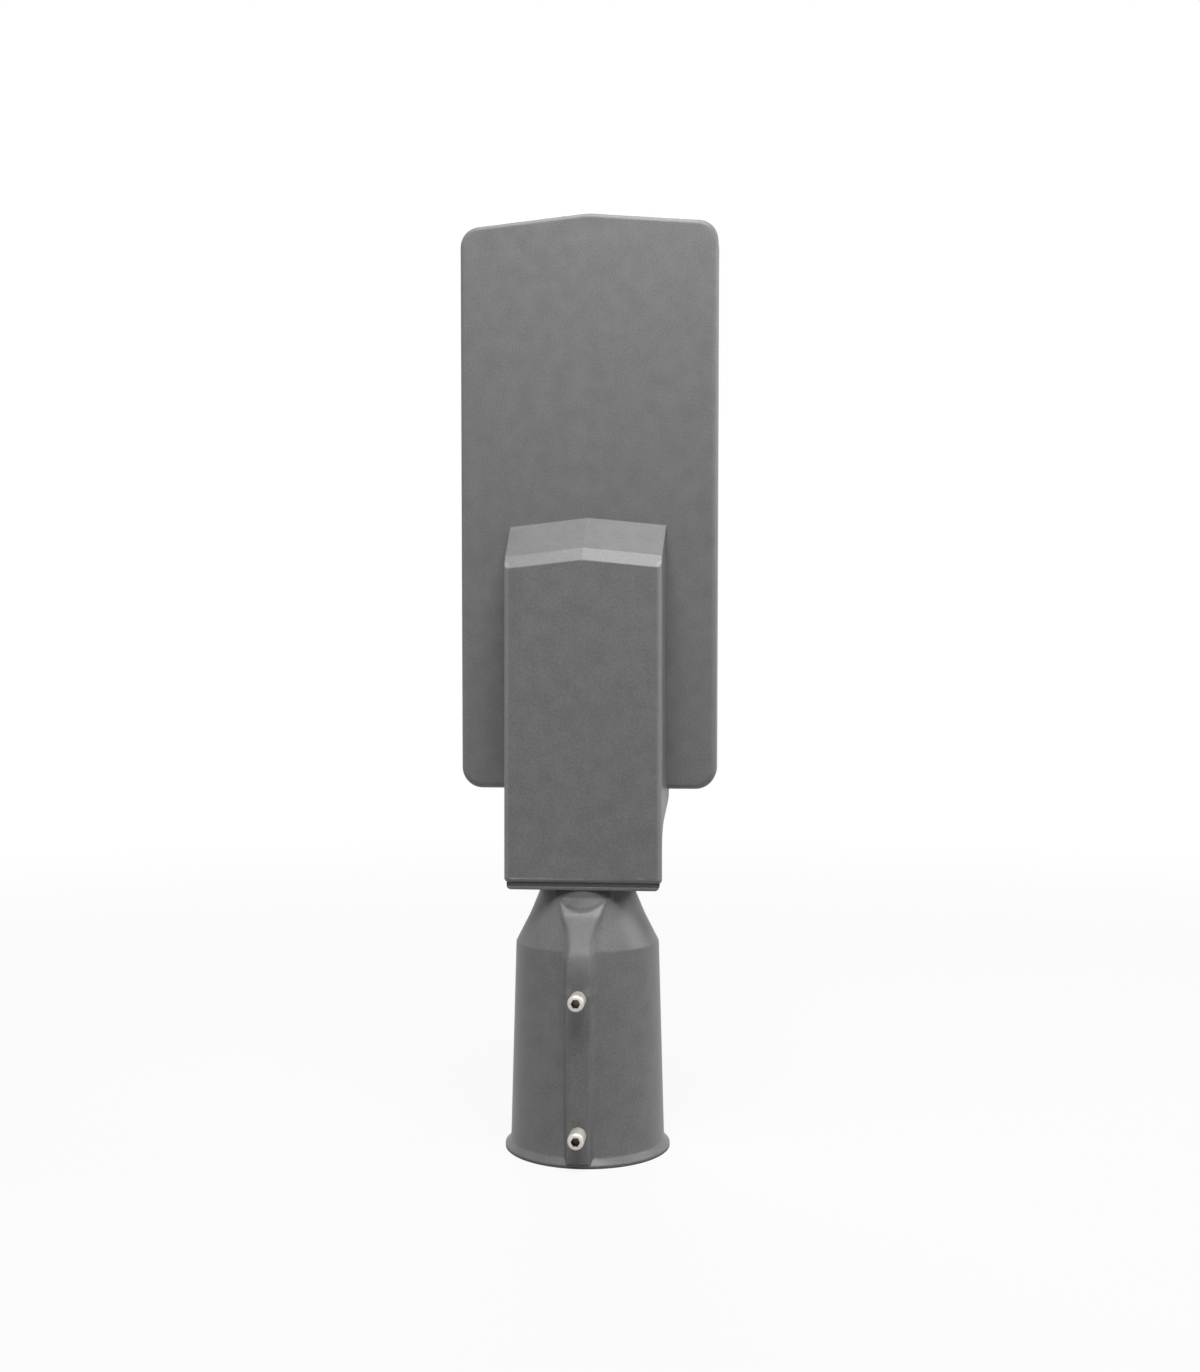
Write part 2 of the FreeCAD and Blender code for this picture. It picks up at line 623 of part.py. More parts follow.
def housing():
    """One casting: light panel and driver hood, with its gear bay and light engine pocket."""
    body = fused([panel_block(), hood_block()])
    hood_room = hood_shape(HOOD_PLATE)
    hood_room = hood_room.common(block(-HOOD_ROOM_HALF_WIDTH, HOOD_ROOM_HALF_WIDTH,
                                       HOOD_INSIDE_Y, SEAM_DROP, TRAY_Z - PAST, BAY_TOP_Z))
    bay = slab(rectangle(BAY_HALF_WIDTH, LID_Z + LID_SHELF_AT_TOP, BAY_TOP_Z, LID_CORNER / 2),
               PANEL_PLATE, PANEL_DEPTH + PAST)
    lid_pocket = slab(rectangle(LID_POCKET_HALF_WIDTH, LID_Z, LID_TOP_Z, LID_CORNER),
                      LID_SHELF_Y, PANEL_DEPTH + PAST)
    lens_pocket = slab(rectangle(LENS_POCKET_HALF_WIDTH, LENS_Z, LENS_TOP_Z, LENS_CORNER),
                       LENS_SHELF_Y, PANEL_DEPTH + PAST)
    engine_pocket = slab(rectangle(ENGINE_HALF_WIDTH, ENGINE_Z, ENGINE_TOP_Z, LENS_CORNER / 2),
                         ENGINE_FLOOR, PANEL_DEPTH + PAST)
    well = block(-WELL_HALF_WIDTH, WELL_HALF_WIDTH, WELL_FLOOR, PANEL_DEPTH,
                 ENGINE_Z, BOARD_Z + CONNECTOR_GRIP + BOARD_GAP)
    lead_hole = rod(GROMMET_RADIUS + GROMMET_GAP, V(0, LEAD_LEVEL, BAY_TOP_Z), Z_AXIS, ENGINE_Z - BAY_TOP_Z)
    body = body.cut(Part.makeCompound([hood_room, bay, lid_pocket]))
    body = body.cut(Part.makeCompound([lens_pocket, engine_pocket]))
    body = body.cut(Part.makeCompound([well, lead_hole]))
    bosses = [along_y(BOLT_BOSS_RADIUS, x, z, HOOD_INSIDE_Y - HOOD_PLATE / 2, BOLT_JOINT)
              for x, z in bolt_places()]
    bosses += [along_y(DRIVER_BOSS_RADIUS, x, z, HOOD_INSIDE_Y - HOOD_PLATE / 2, EAR_Y)
               for x, z in driver_screw_places()]
    bosses += [along_y(TERMINAL_BOSS_RADIUS, x, z, HOOD_INSIDE_Y - HOOD_PLATE / 2, TERMINAL_BACK_Y)
               for x, z in terminal_screw_places()]
    bosses.append(along_y(EARTH_BOSS, EARTH_X, LID_Z + EARTH_FROM_LID_END,
                          PANEL_PLATE / 2, PANEL_PLATE + EARTH_BOSS))
    body = fused([body] + bosses)
    holes = [along_y(BOLT_RADIUS + THREAD_GAP, x, z, BOLT_JOINT, bolt_tip() - HOLE_SPARE)
             for x, z in bolt_places()]
    holes += [along_y(DRIVER_SCREW_RADIUS + THREAD_GAP, x, z, EAR_Y, EAR_Y - DRIVER_HOLE_DEPTH)
              for x, z in driver_screw_places()]
    holes += [along_y(TERMINAL_FIX_RADIUS + THREAD_GAP, x, z, TERMINAL_BACK_Y,
                      TERMINAL_BACK_Y - DRIVER_HOLE_DEPTH) for x, z in terminal_screw_places()]
    holes += [along_y(LID_SCREW_RADIUS + THREAD_GAP, x, z, LID_SHELF_Y,
                      PANEL_DEPTH - LID_SCREW_LENGTH - HOLE_SPARE) for x, z in lid_screw_places()]
    holes += [along_y(LENS_SCREW_RADIUS + THREAD_GAP, x, z, LENS_SHELF_Y,
                      LENS_FRONT_Y - LENS_SCREW_LENGTH - HOLE_SPARE) for x, z in lens_screw_places()]
    holes += [along_y(BOARD_SCREW_RADIUS + THREAD_GAP, x, z, ENGINE_FLOOR,
                      BOARD_FRONT_Y - BOARD_SCREW_LENGTH - HOLE_SPARE / 2)
              for x, z in board_screw_places()]
    holes.append(along_y(LID_SCREW_RADIUS + THREAD_GAP, EARTH_X, LID_Z + EARTH_FROM_LID_END,
                         PANEL_PLATE + EARTH_BOSS, PANEL_PLATE + EARTH_BOSS - EARTH_SCREW_LENGTH))
    return body.cut(Part.makeCompound(holes))


def socket_radius(z):
    """Outer radius of the socket's wall or of the neck at height z."""
    if z < SHOULDER_Z:
        return SOCKET_MOUTH_RADIUS - SOCKET_DRAFT * (z - LIP_HEIGHT) / (SHOULDER_Z - LIP_HEIGHT)
    share = (z - SHOULDER_Z) / NECK_LENGTH
    return SOCKET_TOP_RADIUS - NECK_DROP * share - 2 * NECK_HOLLOW * min(share, 1 - share)


def rib_section(z, reach, half, foot):
    """Level outline of the rib, with rounded front edges and hollow flanks that end inside the wall."""
    root = math.sqrt(socket_radius(z) ** 2 - foot ** 2) - RIB_SINK
    corner = V(half, -reach, z)
    foot_right = V(foot, -root, z)
    flank = unit(foot_right - corner)
    front_end = corner - X_AXIS * RIB_EDGE
    flank_start = corner + flank * RIB_EDGE
    half_angle = (-X_AXIS).getAngle(flank) / 2
    radius = RIB_EDGE * math.tan(half_angle)
    edge_middle = corner + unit(flank - X_AXIS) * (radius / math.sin(half_angle) - radius)
    inward = V(-flank.y, flank.x, 0) * (RIB_HOLLOW * (foot_right - flank_start).Length)
    flank_middle = (flank_start + foot_right) / 2 + inward
    right = [front_end, edge_middle, flank_start, flank_middle, foot_right]
    left = [V(-point.x, point.y, z) for point in right]
    return Part.Wire([Part.LineSegment(left[0], right[0]).toShape(),
                      Part.Arc(right[0], right[1], right[2]).toShape(),
                      Part.Arc(right[2], right[3], right[4]).toShape(),
                      Part.LineSegment(right[4], left[4]).toShape(),
                      Part.Arc(left[4], left[3], left[2]).toShape(),
                      Part.Arc(left[2], left[1], left[0]).toShape()])


def rib():
    """Rib that carries the clamp screws: a straight run, then a slant that flares out over the neck."""
    straight_top = SHOULDER_Z - RIB_BELOW_SHOULDER
    low = rib_section(RIB_BOTTOM, RIB_REACH, RIB_HALF_WIDTH, RIB_FOOT_HALF_WIDTH)
    sections = [rib_section(straight_top + height, RIB_REACH - less, half, foot)
                for height, less, half, foot in RIB_STATIONS]
    straight = Part.makeLoft([low, sections[0]], True, True)
    slant = Part.makeLoft(sections, True, False)
    return fused([straight, slant])


def socket_body():
    """Turned outside of the socket: lip, drafted wall, shoulder and neck."""
    wall_angle = math.atan2(SOCKET_DRAFT, SHOULDER_Z - LIP_HEIGHT)
    neck_angle = math.atan2(SOCKET_TOP_RADIUS - NECK_RADIUS, NECK_LENGTH)
    reach = SHOULDER_ROUND * math.tan((neck_angle - wall_angle) / 2)
    waist_z = SHOULDER_Z + NECK_LENGTH / 2
    corners = [(0, 0, 0), (LIP_RADIUS, 0, 0), (LIP_RADIUS, LIP_EDGE, 0),
               (SOCKET_MOUTH_RADIUS, LIP_HEIGHT, reach), (SOCKET_TOP_RADIUS, SHOULDER_Z, SHOULDER_ROUND),
               (socket_radius(waist_z), waist_z, NECK_ROUND), (NECK_RADIUS, TRAY_Z, 0), (0, TRAY_Z, 0)]
    wire = outline(corners, lambda point: V(point.x, 0, point.y))
    return Part.Face(wire).revolve(V(0, 0, 0), Z_AXIS, 360)


def socket_bore():
    """Pole bore with its stop ledge, and the cable passage above it."""
    return revolved([(0, -PAST), (BORE_RADIUS, -PAST), (BORE_RADIUS, SOCKET_DEPTH),
                     (BORE_RADIUS - STOP_LEDGE, SOCKET_DEPTH),
                     (PASSAGE_RADIUS, SOCKET_DEPTH + PASSAGE_CONE), (PASSAGE_RADIUS, TRAY_Z),
                     (0, TRAY_Z)], V(0, 0, 0))


def tray_block():
    """Outside of the tray, wider at the panel's end, with drafted sides and rounds on the light side."""
    wires = []
    for y, shrink in ((HOOD_INSIDE_Y, 0.0), (TRAY_DEPTH, TRAY_TAPER)):
        low_half = TRAY_HALF_WIDTH - shrink
        high_half = TRAY_TOP_HALF_WIDTH - shrink
        wires.append(outline([(-low_half, TRAY_Z, TRAY_CORNER), (low_half, TRAY_Z, TRAY_CORNER),
                              (high_half, TRAY_TOP_Z, 0), (-high_half, TRAY_TOP_Z, 0)], plan_at(y)))
    far = HOOD_INSIDE_Y - PAST
    side_view = sideways([(far, TRAY_Z - PAST, 0), (tray_floor_y(TRAY_Z - PAST), TRAY_Z - PAST, 0),
                          (tray_floor_y(TRAY_TOP_Z), TRAY_TOP_Z, 0), (far, TRAY_TOP_Z, 0)], PANEL_TOP_WIDTH)
    tray = Part.makeLoft(wires, True, True).common(side_view)

    def on_light_side(edge):
        points = ends_of(edge)
        return (all(abs(p.y - tray_floor_y(p.z)) < 1e-3 for p in points)
                and not all_at(edge, lambda p: p.z, TRAY_TOP_Z))

    return tray.makeFillet(TRAY_EDGE_ROUND, edges_where(tray, on_light_side))


def tray_floor_y(z):
    """Depth of the tray's light side at height z."""
    share = (z - TRAY_Z) / (TRAY_TOP_Z - TRAY_Z)
    return TRAY_DEPTH + (PANEL_DEPTH - TRAY_DEPTH) * share


def surge_place():
    """Low end of the surge protector."""
    return BAY_Z + SURGE_FROM_WALL


def arm_casting():
    """One casting: pole socket with lip and rib, neck, end wall and tray."""
    tray = tray_block().common(tray_side_of_seam())
    room = sideways([(HOOD_INSIDE_Y - PAST, BAY_Z, 0),
                     (tray_floor_y(BAY_Z) - TRAY_FLOOR, BAY_Z, TRAY_CORNER),
                     (PANEL_DEPTH - TRAY_FLOOR, TRAY_TOP_Z, 0),
                     (PANEL_DEPTH - TRAY_FLOOR, TRAY_TOP_Z + PAST, 0),
                     (HOOD_INSIDE_Y - PAST, TRAY_TOP_Z + PAST, 0)], TRAY_ROOM_HALF_WIDTH)
    tray = tray.cut(room)
    posts = [along_y(BOLT_POST_RADIUS, x, z, BOLT_JOINT, tray_floor_y(z) - TRAY_FLOOR / 2)
             for x, z in bolt_places()]
    pad = block(surge_left(), surge_right() + SURGE_EAR,
                SURGE_LEVEL, tray_floor_y(BAY_Z) - TRAY_FLOOR / 2,
                surge_place() + SURGE_PAD_INSET, surge_place() + SURGE_LENGTH - SURGE_PAD_INSET)
    pad = pad.common(tray_block())
    body = fused([socket_body(), rib(), tray] + posts + [pad])
    body = body.cut(socket_bore())
    holes = [rod(GLAND_THREAD_RADIUS + GLAND_HOLE_GAP, V(0, 0, TRAY_Z - JUST_PAST), Z_AXIS,
                 END_WALL + 2 * JUST_PAST)]
    for z in (CLAMP_SCREW_LOW, CLAMP_SCREW_HIGH):
        holes.append(rod(CLAMP_SCREW_RADIUS + THREAD_GAP, V(0, -BORE_RADIUS + STOP_LEDGE, z), -Y_AXIS,
                         RIB_REACH - BORE_RADIUS + 2 * STOP_LEDGE))
    for x, z in bolt_places():
        holes.append(along_y(BOLT_RADIUS + BOLT_HOLE_GAP, x, z, BOLT_JOINT, BOLT_SEAT))
        holes.append(along_y(BOLT_WASHER_RADIUS + BOLT_HOLE_GAP, x, z, BOLT_SEAT, TRAY_DEPTH + PAST))
    holes.append(along_y(DRIVER_SCREW_RADIUS + THREAD_GAP, surge_ear_x(), surge_place() + SURGE_LENGTH / 2,
                         SURGE_LEVEL, SURGE_LEVEL + DRIVER_HOLE_DEPTH / 2))
    return body.cut(Part.makeCompound(holes))


def seam_gasket():
    """Gasket that fills the seam: across the end wall, up both sides and across the tray's floor."""
    outer_half = HOOD_ROOM_HALF_WIDTH + GASKET_INSET + GASKET_WIDTH
    inner_half = HOOD_ROOM_HALF_WIDTH + GASKET_INSET
    low = HOOD_Z + GASKET_INSET
    deep = PANEL_DEPTH - GASKET_INSET
    space = block(-outer_half, outer_half, HOOD_INSIDE_Y, deep, low, PANEL_Z)
    inner = block(-inner_half, inner_half, HOOD_INSIDE_Y - PAST, PANEL_DEPTH - TRAY_FLOOR + GASKET_INSET,
                  BAY_Z - GASKET_INSET, PANEL_Z + PAST)
    tray_side = tray_side_of_seam().common(
        block(-PANEL_TOP_WIDTH, PANEL_TOP_WIDTH, TRAY_RIM_Y - JUST_PAST, TRAY_DEPTH + PAST, 0, TRAY_TOP_Z))
    return space.cut(hood_side_of_seam()).cut(tray_side).cut(inner)


def bolt_tip():
    return BOLT_SEAT + BOLT_WASHER - BOLT_LENGTH


def cap_screw(x, z, seat, length, radius, head_radius, head_height, hexagon_size):
    """Socket head screw that runs from its seat towards the sky side."""
    screw = along_y(head_radius, x, z, seat, seat + head_height)
    screw = screw.fuse(along_y(radius, x, z, seat - length, seat))
    recess = hexagon(hexagon_size, V(x, seat + head_height / 2, z), Y_AXIS, head_height)
    return screw.cut(recess).removeSplitter()


def pan_screw(x, z, seat, length, radius, head_height):
    """Pan head screw that runs from its seat towards the sky side, with a domed head and a slot."""
    head_radius = 2 * radius
    head = Part.makeCone(head_radius, head_radius * HEAD_TAPER, head_height, V(x, seat, z), Y_AXIS)
    screw = head.fuse(along_y(radius, x, z, seat - length, seat))
    slot = block(x - head_radius, x + head_radius, seat + head_height * 0.5, seat + head_height * 2,
                 z - radius / 4, z + radius / 4)
    return screw.cut(slot).removeSplitter()


def countersunk_screw(x, z, top, length, radius):
    """Countersunk screw, flush at top, that runs towards the sky side."""
    head_height = radius
    screw = Part.makeCone(radius, 2 * radius, head_height, V(x, top - head_height, z), Y_AXIS)
    screw = screw.fuse(along_y(radius, x, z, top - length, top - head_height))
    recess = hexagon(radius * CAP_HEX, V(x, top - head_height * CAP_HEX_DEPTH, z), Y_AXIS, head_height)
    return screw.cut(recess).removeSplitter()


def arm_bolts():
    return Part.makeCompound([cap_screw(x, z, BOLT_SEAT + BOLT_WASHER, BOLT_LENGTH, BOLT_RADIUS,
                                        BOLT_HEAD_RADIUS, BOLT_HEAD_HEIGHT, BOLT_HEX)
                              for x, z in bolt_places()])


def arm_bolt_washers():
    hole = BOLT_RADIUS + BOLT_HOLE_GAP
    return Part.makeCompound([along_y(BOLT_WASHER_RADIUS, x, z, BOLT_SEAT, BOLT_SEAT + BOLT_WASHER)
                              .cut(along_y(hole, x, z, BOLT_SEAT, BOLT_SEAT + BOLT_WASHER))
                              for x, z in bolt_places()])


def clamp_screw(z):
    """Socket set screw in the rib, with a cupped tip that stops just short of the pole bore."""
    tip = BORE_RADIUS + CLAMP_TIP_GAP
    screw = rod(CLAMP_SCREW_RADIUS, V(0, -tip, z), -Y_AXIS, CLAMP_SCREW_LENGTH)
    rims = edges_where(screw, lambda edge: all_at(edge, lambda p: p.y, -tip)
                       or all_at(edge, lambda p: p.y, -tip - CLAMP_SCREW_LENGTH))
    screw = screw.makeChamfer(CLAMP_SCREW_CHAMFER, rims)
    cup = Part.makeCone(CLAMP_SCREW_RADIUS / 2, 0, CLAMP_SCREW_RADIUS / 4, V(0, -tip, z), -Y_AXIS)
    recess_start = V(0, -tip - CLAMP_SCREW_LENGTH + CLAMP_SCREW_SOCKET, z)
    recess = hexagon(CLAMP_SCREW_HEX, recess_start, -Y_AXIS, CLAMP_SCREW_SOCKET + JUST_PAST)
    return screw.cut(cup).cut(recess)


def thermal_pad():
    pad = slab(rectangle(BOARD_HALF_WIDTH, BOARD_Z, BOARD_TOP_Z), ENGINE_FLOOR, BOARD_BACK_Y)
    pad = pad.cut(well_cut())
    holes = [along_y(BOARD_SCREW_RADIUS + BOLT_HOLE_GAP, x, z, ENGINE_FLOOR - JUST_PAST, BOARD_FRONT_Y)
             for x, z in board_screw_places()]
    return pad.cut(Part.makeCompound(holes))


def well_cut():
    """Room that the connector needs in the pad."""
    half = WELL_HALF_WIDTH
    return block(-half, half, WELL_FLOOR, BOARD_BACK_Y, ENGINE_Z, BOARD_Z + CONNECTOR_GRIP + BOARD_GAP)


def led_board():
    board = slab(rectangle(BOARD_HALF_WIDTH, BOARD_Z, BOARD_TOP_Z, BOARD_CORNER), BOARD_BACK_Y, BOARD_FRONT_Y)
    return board.cut(Part.makeCompound([along_y(BOARD_SCREW_RADIUS + BOLT_HOLE_GAP, x, z, ENGINE_FLOOR,
                                                BOARD_FRONT_Y + JUST_PAST) for x, z in board_screw_places()]))


def led_board_screws():
    return Part.makeCompound([pan_screw(x, z, BOARD_FRONT_Y, BOARD_SCREW_LENGTH, BOARD_SCREW_RADIUS,
                                        BOARD_SCREW_HEAD) for x, z in board_screw_places()])


def led_chips():
    half = CHIP_SIZE / 2
    return Part.makeCompound([block(x - half, x + half, BOARD_FRONT_Y, BOARD_FRONT_Y + CHIP_HEIGHT,
                                    z - half, z + half) for x, z in chip_places()])


def led_connector():
    """Two way connector that grips the board's lower edge in the wire well."""
    half = CONNECTOR_HALF_WIDTH
    low = BOARD_Z + CONNECTOR_GRIP - CONNECTOR_LENGTH
    body = block(-half, half, WELL_FLOOR + CONNECTOR_CLEARANCE, BOARD_FRONT_Y + CONNECTOR_ABOVE_BOARD,
                 low, BOARD_Z + CONNECTOR_GRIP)
    slot = block(-half - JUST_PAST, half + JUST_PAST, BOARD_BACK_Y, BOARD_FRONT_Y,
                 BOARD_Z, BOARD_Z + CONNECTOR_LENGTH)
    holes = [rod(LEAD_RADIUS + LEAD_HOLE_GAP, V(side * LEAD_OFFSET, LEAD_LEVEL, low), Z_AXIS,
                 LEAD_IN_TERMINAL) for side in (-1, 1)]
    return body.cut(slot).cut(Part.makeCompound(holes))


def dome(x, z):
    """Lens dome on the light side of the plate, a cap of a ball."""
    ball_radius = (DOME_RADIUS ** 2 + DOME_HEIGHT ** 2) / (2 * DOME_HEIGHT)
    centre = V(x, LENS_FRONT_Y + DOME_HEIGHT - ball_radius, z)
    angle = math.degrees(math.acos((ball_radius - DOME_HEIGHT) / ball_radius))
    ball = Part.makeSphere(ball_radius, centre, Y_AXIS, 90 - angle, 90, 360)
    return ball


def lens_plate():
    """Clear cover with a dome over each chip and a hollow behind each dome."""
    plate = slab(rectangle(LENS_POCKET_HALF_WIDTH - LENS_GAP, LENS_Z + LENS_GAP, LENS_TOP_Z - LENS_GAP,
                           LENS_CORNER - LENS_GAP), LENS_BACK_Y, LENS_FRONT_Y)
    plate = fused([plate] + [dome(x, z) for x, z in chip_places()])
    cuts = [Part.makeCone(DOME_CAVITY_RADIUS, DOME_CAVITY_RADIUS / 2, DOME_CAVITY_DEPTH,
                          V(x, LENS_BACK_Y, z), Y_AXIS) for x, z in chip_places()]
    cuts += [along_y(LENS_SCREW_RADIUS + BOLT_HOLE_GAP, x, z, LENS_BACK_Y - JUST_PAST,
                     LENS_FRONT_Y + JUST_PAST) for x, z in lens_screw_places()]
    return plate.cut(Part.makeCompound(cuts))


def frame_ring(half_width, low, high, corner, width, y_from, y_to):
    """Flat gasket frame that runs inwards from an outline."""
    outer = slab(rectangle(half_width, low, high, corner), y_from, y_to)
    inner = slab(rectangle(half_width - width, low + width, high - width, corner - width),
                 y_from - JUST_PAST, y_to + JUST_PAST)
    return outer.cut(inner)


def lens_gasket():
    margin = LENS_SHELF - GASKET_INSET - LENS_GASKET_WIDTH
    side = ENGINE_HALF_WIDTH + GASKET_INSET + LENS_GASKET_WIDTH
    return frame_ring(side, LENS_Z + margin, LENS_TOP_Z - margin, LENS_CORNER / 2 + LENS_GASKET_WIDTH,
                      LENS_GASKET_WIDTH, LENS_SHELF_Y, LENS_BACK_Y)


def lens_screws():
    return Part.makeCompound([pan_screw(x, z, LENS_FRONT_Y, LENS_SCREW_LENGTH, LENS_SCREW_RADIUS,
                                        LENS_SCREW_HEAD)
                              for x, z in lens_screw_places()])


def gear_lid():
    """Flat lid over the gear bay, with a boss for the vent on its inside."""
    lid = slab(rectangle(LID_POCKET_HALF_WIDTH - LID_GAP, LID_Z + LID_GAP, LID_TOP_Z - LID_GAP,
                         LID_CORNER - LID_GAP), LID_BACK_Y, PANEL_DEPTH)
    rim = edges_where(lid, lambda edge: all_at(edge, lambda p: p.y, PANEL_DEPTH))
    lid = lid.makeFillet(LID_EDGE_ROUND, rim)
    vent_z = LID_Z + VENT_FROM_LID_END
    lid = lid.fuse(along_y(VENT_BOSS_RADIUS, VENT_X, vent_z, LID_BACK_Y - VENT_BOSS, LID_BACK_Y))
    cuts = [along_y(VENT_RADIUS + THREAD_GAP, VENT_X, vent_z,
                    LID_BACK_Y - VENT_BOSS - JUST_PAST, PANEL_DEPTH + JUST_PAST)]
    for x, z in lid_screw_places():
        cuts.append(along_y(LID_SCREW_RADIUS + BOLT_HOLE_GAP, x, z, LID_BACK_Y - JUST_PAST,
                            PANEL_DEPTH + JUST_PAST))
        cuts.append(Part.makeCone(LID_SCREW_RADIUS, 2 * LID_SCREW_RADIUS + JUST_PAST,
                                  LID_SCREW_RADIUS + JUST_PAST,
                                  V(x, PANEL_DEPTH - LID_SCREW_RADIUS, z), Y_AXIS))
    return lid.cut(Part.makeCompound(cuts)).removeSplitter()


def gear_lid_gasket():
    margin = LID_SHELF_AT_TOP - GASKET_INSET - LID_GASKET_WIDTH
    side = BAY_HALF_WIDTH + GASKET_INSET + LID_GASKET_WIDTH
    return frame_ring(side, LID_Z + margin, LID_TOP_Z - margin, LID_CORNER / 2 + LID_GASKET_WIDTH,
                      LID_GASKET_WIDTH, LID_SHELF_Y, LID_BACK_Y)


def gear_lid_screws():
    return Part.makeCompound([countersunk_screw(x, z, PANEL_DEPTH, LID_SCREW_LENGTH, LID_SCREW_RADIUS)
                              for x, z in lid_screw_places()])


def driver_outline(shrink=0.0):
    half = DRIVER_HALF_WIDTH - shrink
    return [(-half, DRIVER_BACK_Y + shrink, DRIVER_ROUND), (half, DRIVER_BACK_Y + shrink, DRIVER_ROUND),
            (half, DRIVER_FRONT_Y - shrink, DRIVER_ROUND), (-half, DRIVER_FRONT_Y - shrink, DRIVER_ROUND)]


def driver_part(z_from, z_to, shrink=0.0):
    return Part.Face(outline(driver_outline(shrink), level_at(z_from))).extrude(V(0, 0, z_to - z_from))


def driver_case():
    return driver_part(DRIVER_Z + CAP_THICKNESS, DRIVER_TOP_Z - CAP_THICKNESS, CAP_OVERHANG)


def driver_cap(z_from, z_to, ear_z_from, ear_z_to, lead_places):
    """End cap with two mounting ears and holes for its two leads."""
    cap = driver_part(z_from, z_to)
    ears = [block(side * EAR_SPREAD - EAR_HALF_WIDTH, side * EAR_SPREAD + EAR_HALF_WIDTH,
                  EAR_Y, EAR_Y + EAR_THICKNESS, ear_z_from, ear_z_to) for side in (-1, 1)]
    cap = fused([cap] + ears)
    middle = (ear_z_from + ear_z_to) / 2
    cuts = [along_y(DRIVER_SCREW_RADIUS + BOLT_HOLE_GAP, side * EAR_SPREAD, middle, EAR_Y - JUST_PAST,
                    EAR_Y + EAR_THICKNESS + JUST_PAST) for side in (-1, 1)]
    cuts += [rod(LEAD_RADIUS + LEAD_HOLE_GAP, V(x, y, z_from), Z_AXIS, z_to - z_from) for x, y in lead_places]
    return cap.cut(Part.makeCompound(cuts))


def driver_lower_cap():
    level = terminal_lead_y()
    places = [(x, level) for x in way_places()[:2]]
    return driver_cap(DRIVER_Z, DRIVER_Z + CAP_THICKNESS, DRIVER_Z - EAR_LENGTH, DRIVER_Z, places)


def driver_upper_cap():
    places = [(side * LEAD_OFFSET, LEAD_START_LEVEL) for side in (-1, 1)]
    return driver_cap(DRIVER_TOP_Z - CAP_THICKNESS, DRIVER_TOP_Z,
                      DRIVER_TOP_Z, DRIVER_TOP_Z + EAR_LENGTH, places)


def driver_screws():
    return Part.makeCompound([pan_screw(x, z, EAR_Y + EAR_THICKNESS, DRIVER_SCREW_LENGTH,
                                        DRIVER_SCREW_RADIUS, DRIVER_SCREW_HEAD)
                              for x, z in driver_screw_places()])


def terminal_lead_y():
    return (TERMINAL_BACK_Y + TERMINAL_FRONT_Y) / 2 - TERMINAL_LEAD_OFFSET


def terminal_block():
    """Terminal block with a wire hole on both sides of each way and a well for each clamp screw."""
    half = TERMINAL_HALF_WIDTH
    body = slab(rectangle(half, TERMINAL_Z, TERMINAL_TOP_Z, TERMINAL_CORNER),
                TERMINAL_BACK_Y, TERMINAL_FRONT_Y)
    middle = (TERMINAL_Z + TERMINAL_TOP_Z) / 2
    cuts = []
    for x in way_places():
        for z in (TERMINAL_Z, TERMINAL_TOP_Z - LEAD_IN_TERMINAL):
            cuts.append(rod(TERMINAL_WIRE_HOLE, V(x, terminal_lead_y(), z), Z_AXIS, LEAD_IN_TERMINAL))
        cuts.append(along_y(TERMINAL_SCREW_RADIUS + TERMINAL_SCREW_GAP, x, middle,
                            TERMINAL_FRONT_Y - TERMINAL_SCREW_DEPTH, TERMINAL_FRONT_Y + JUST_PAST))
    for x, z in terminal_screw_places():
        cuts.append(along_y(TERMINAL_FIX_RADIUS + BOLT_HOLE_GAP, x, z, TERMINAL_BACK_Y - JUST_PAST,
                            TERMINAL_FRONT_Y + JUST_PAST))
    return body.cut(Part.makeCompound(cuts))


def terminal_clamp_screws():
    """Cheese head screws that stand on the floor of their wells."""
    middle = (TERMINAL_Z + TERMINAL_TOP_Z) / 2
    low = TERMINAL_FRONT_Y - TERMINAL_SCREW_DEPTH
    screws = []
    for x in way_places():
        top = low + TERMINAL_SCREW_HEAD
        head = along_y(TERMINAL_SCREW_RADIUS, x, middle, low, top)
        slot = block(x - TERMINAL_SCREW_HEAD, x + TERMINAL_SCREW_HEAD, top - SLOT_DEPTH, top + SLOT_DEPTH,
                     middle - SLOT_WIDTH / 2, middle + SLOT_WIDTH / 2)
        screws.append(head.cut(slot))
    return Part.makeCompound(screws)


def terminal_block_screws():
    length = TERMINAL_HEIGHT + DRIVER_HOLE_DEPTH - HOLE_SPARE
    return Part.makeCompound([pan_screw(x, z, TERMINAL_FRONT_Y, length, TERMINAL_FIX_RADIUS,
                                        TERMINAL_FIX_HEAD) for x, z in terminal_screw_places()])


def surge_left():
    """The surge protector and its ear stand centred in the tray."""
    return -(SURGE_WIDTH + SURGE_EAR) / 2


def surge_right():
    return surge_left() + SURGE_WIDTH


def surge_ear_x():
    return surge_right() + SURGE_EAR / 2


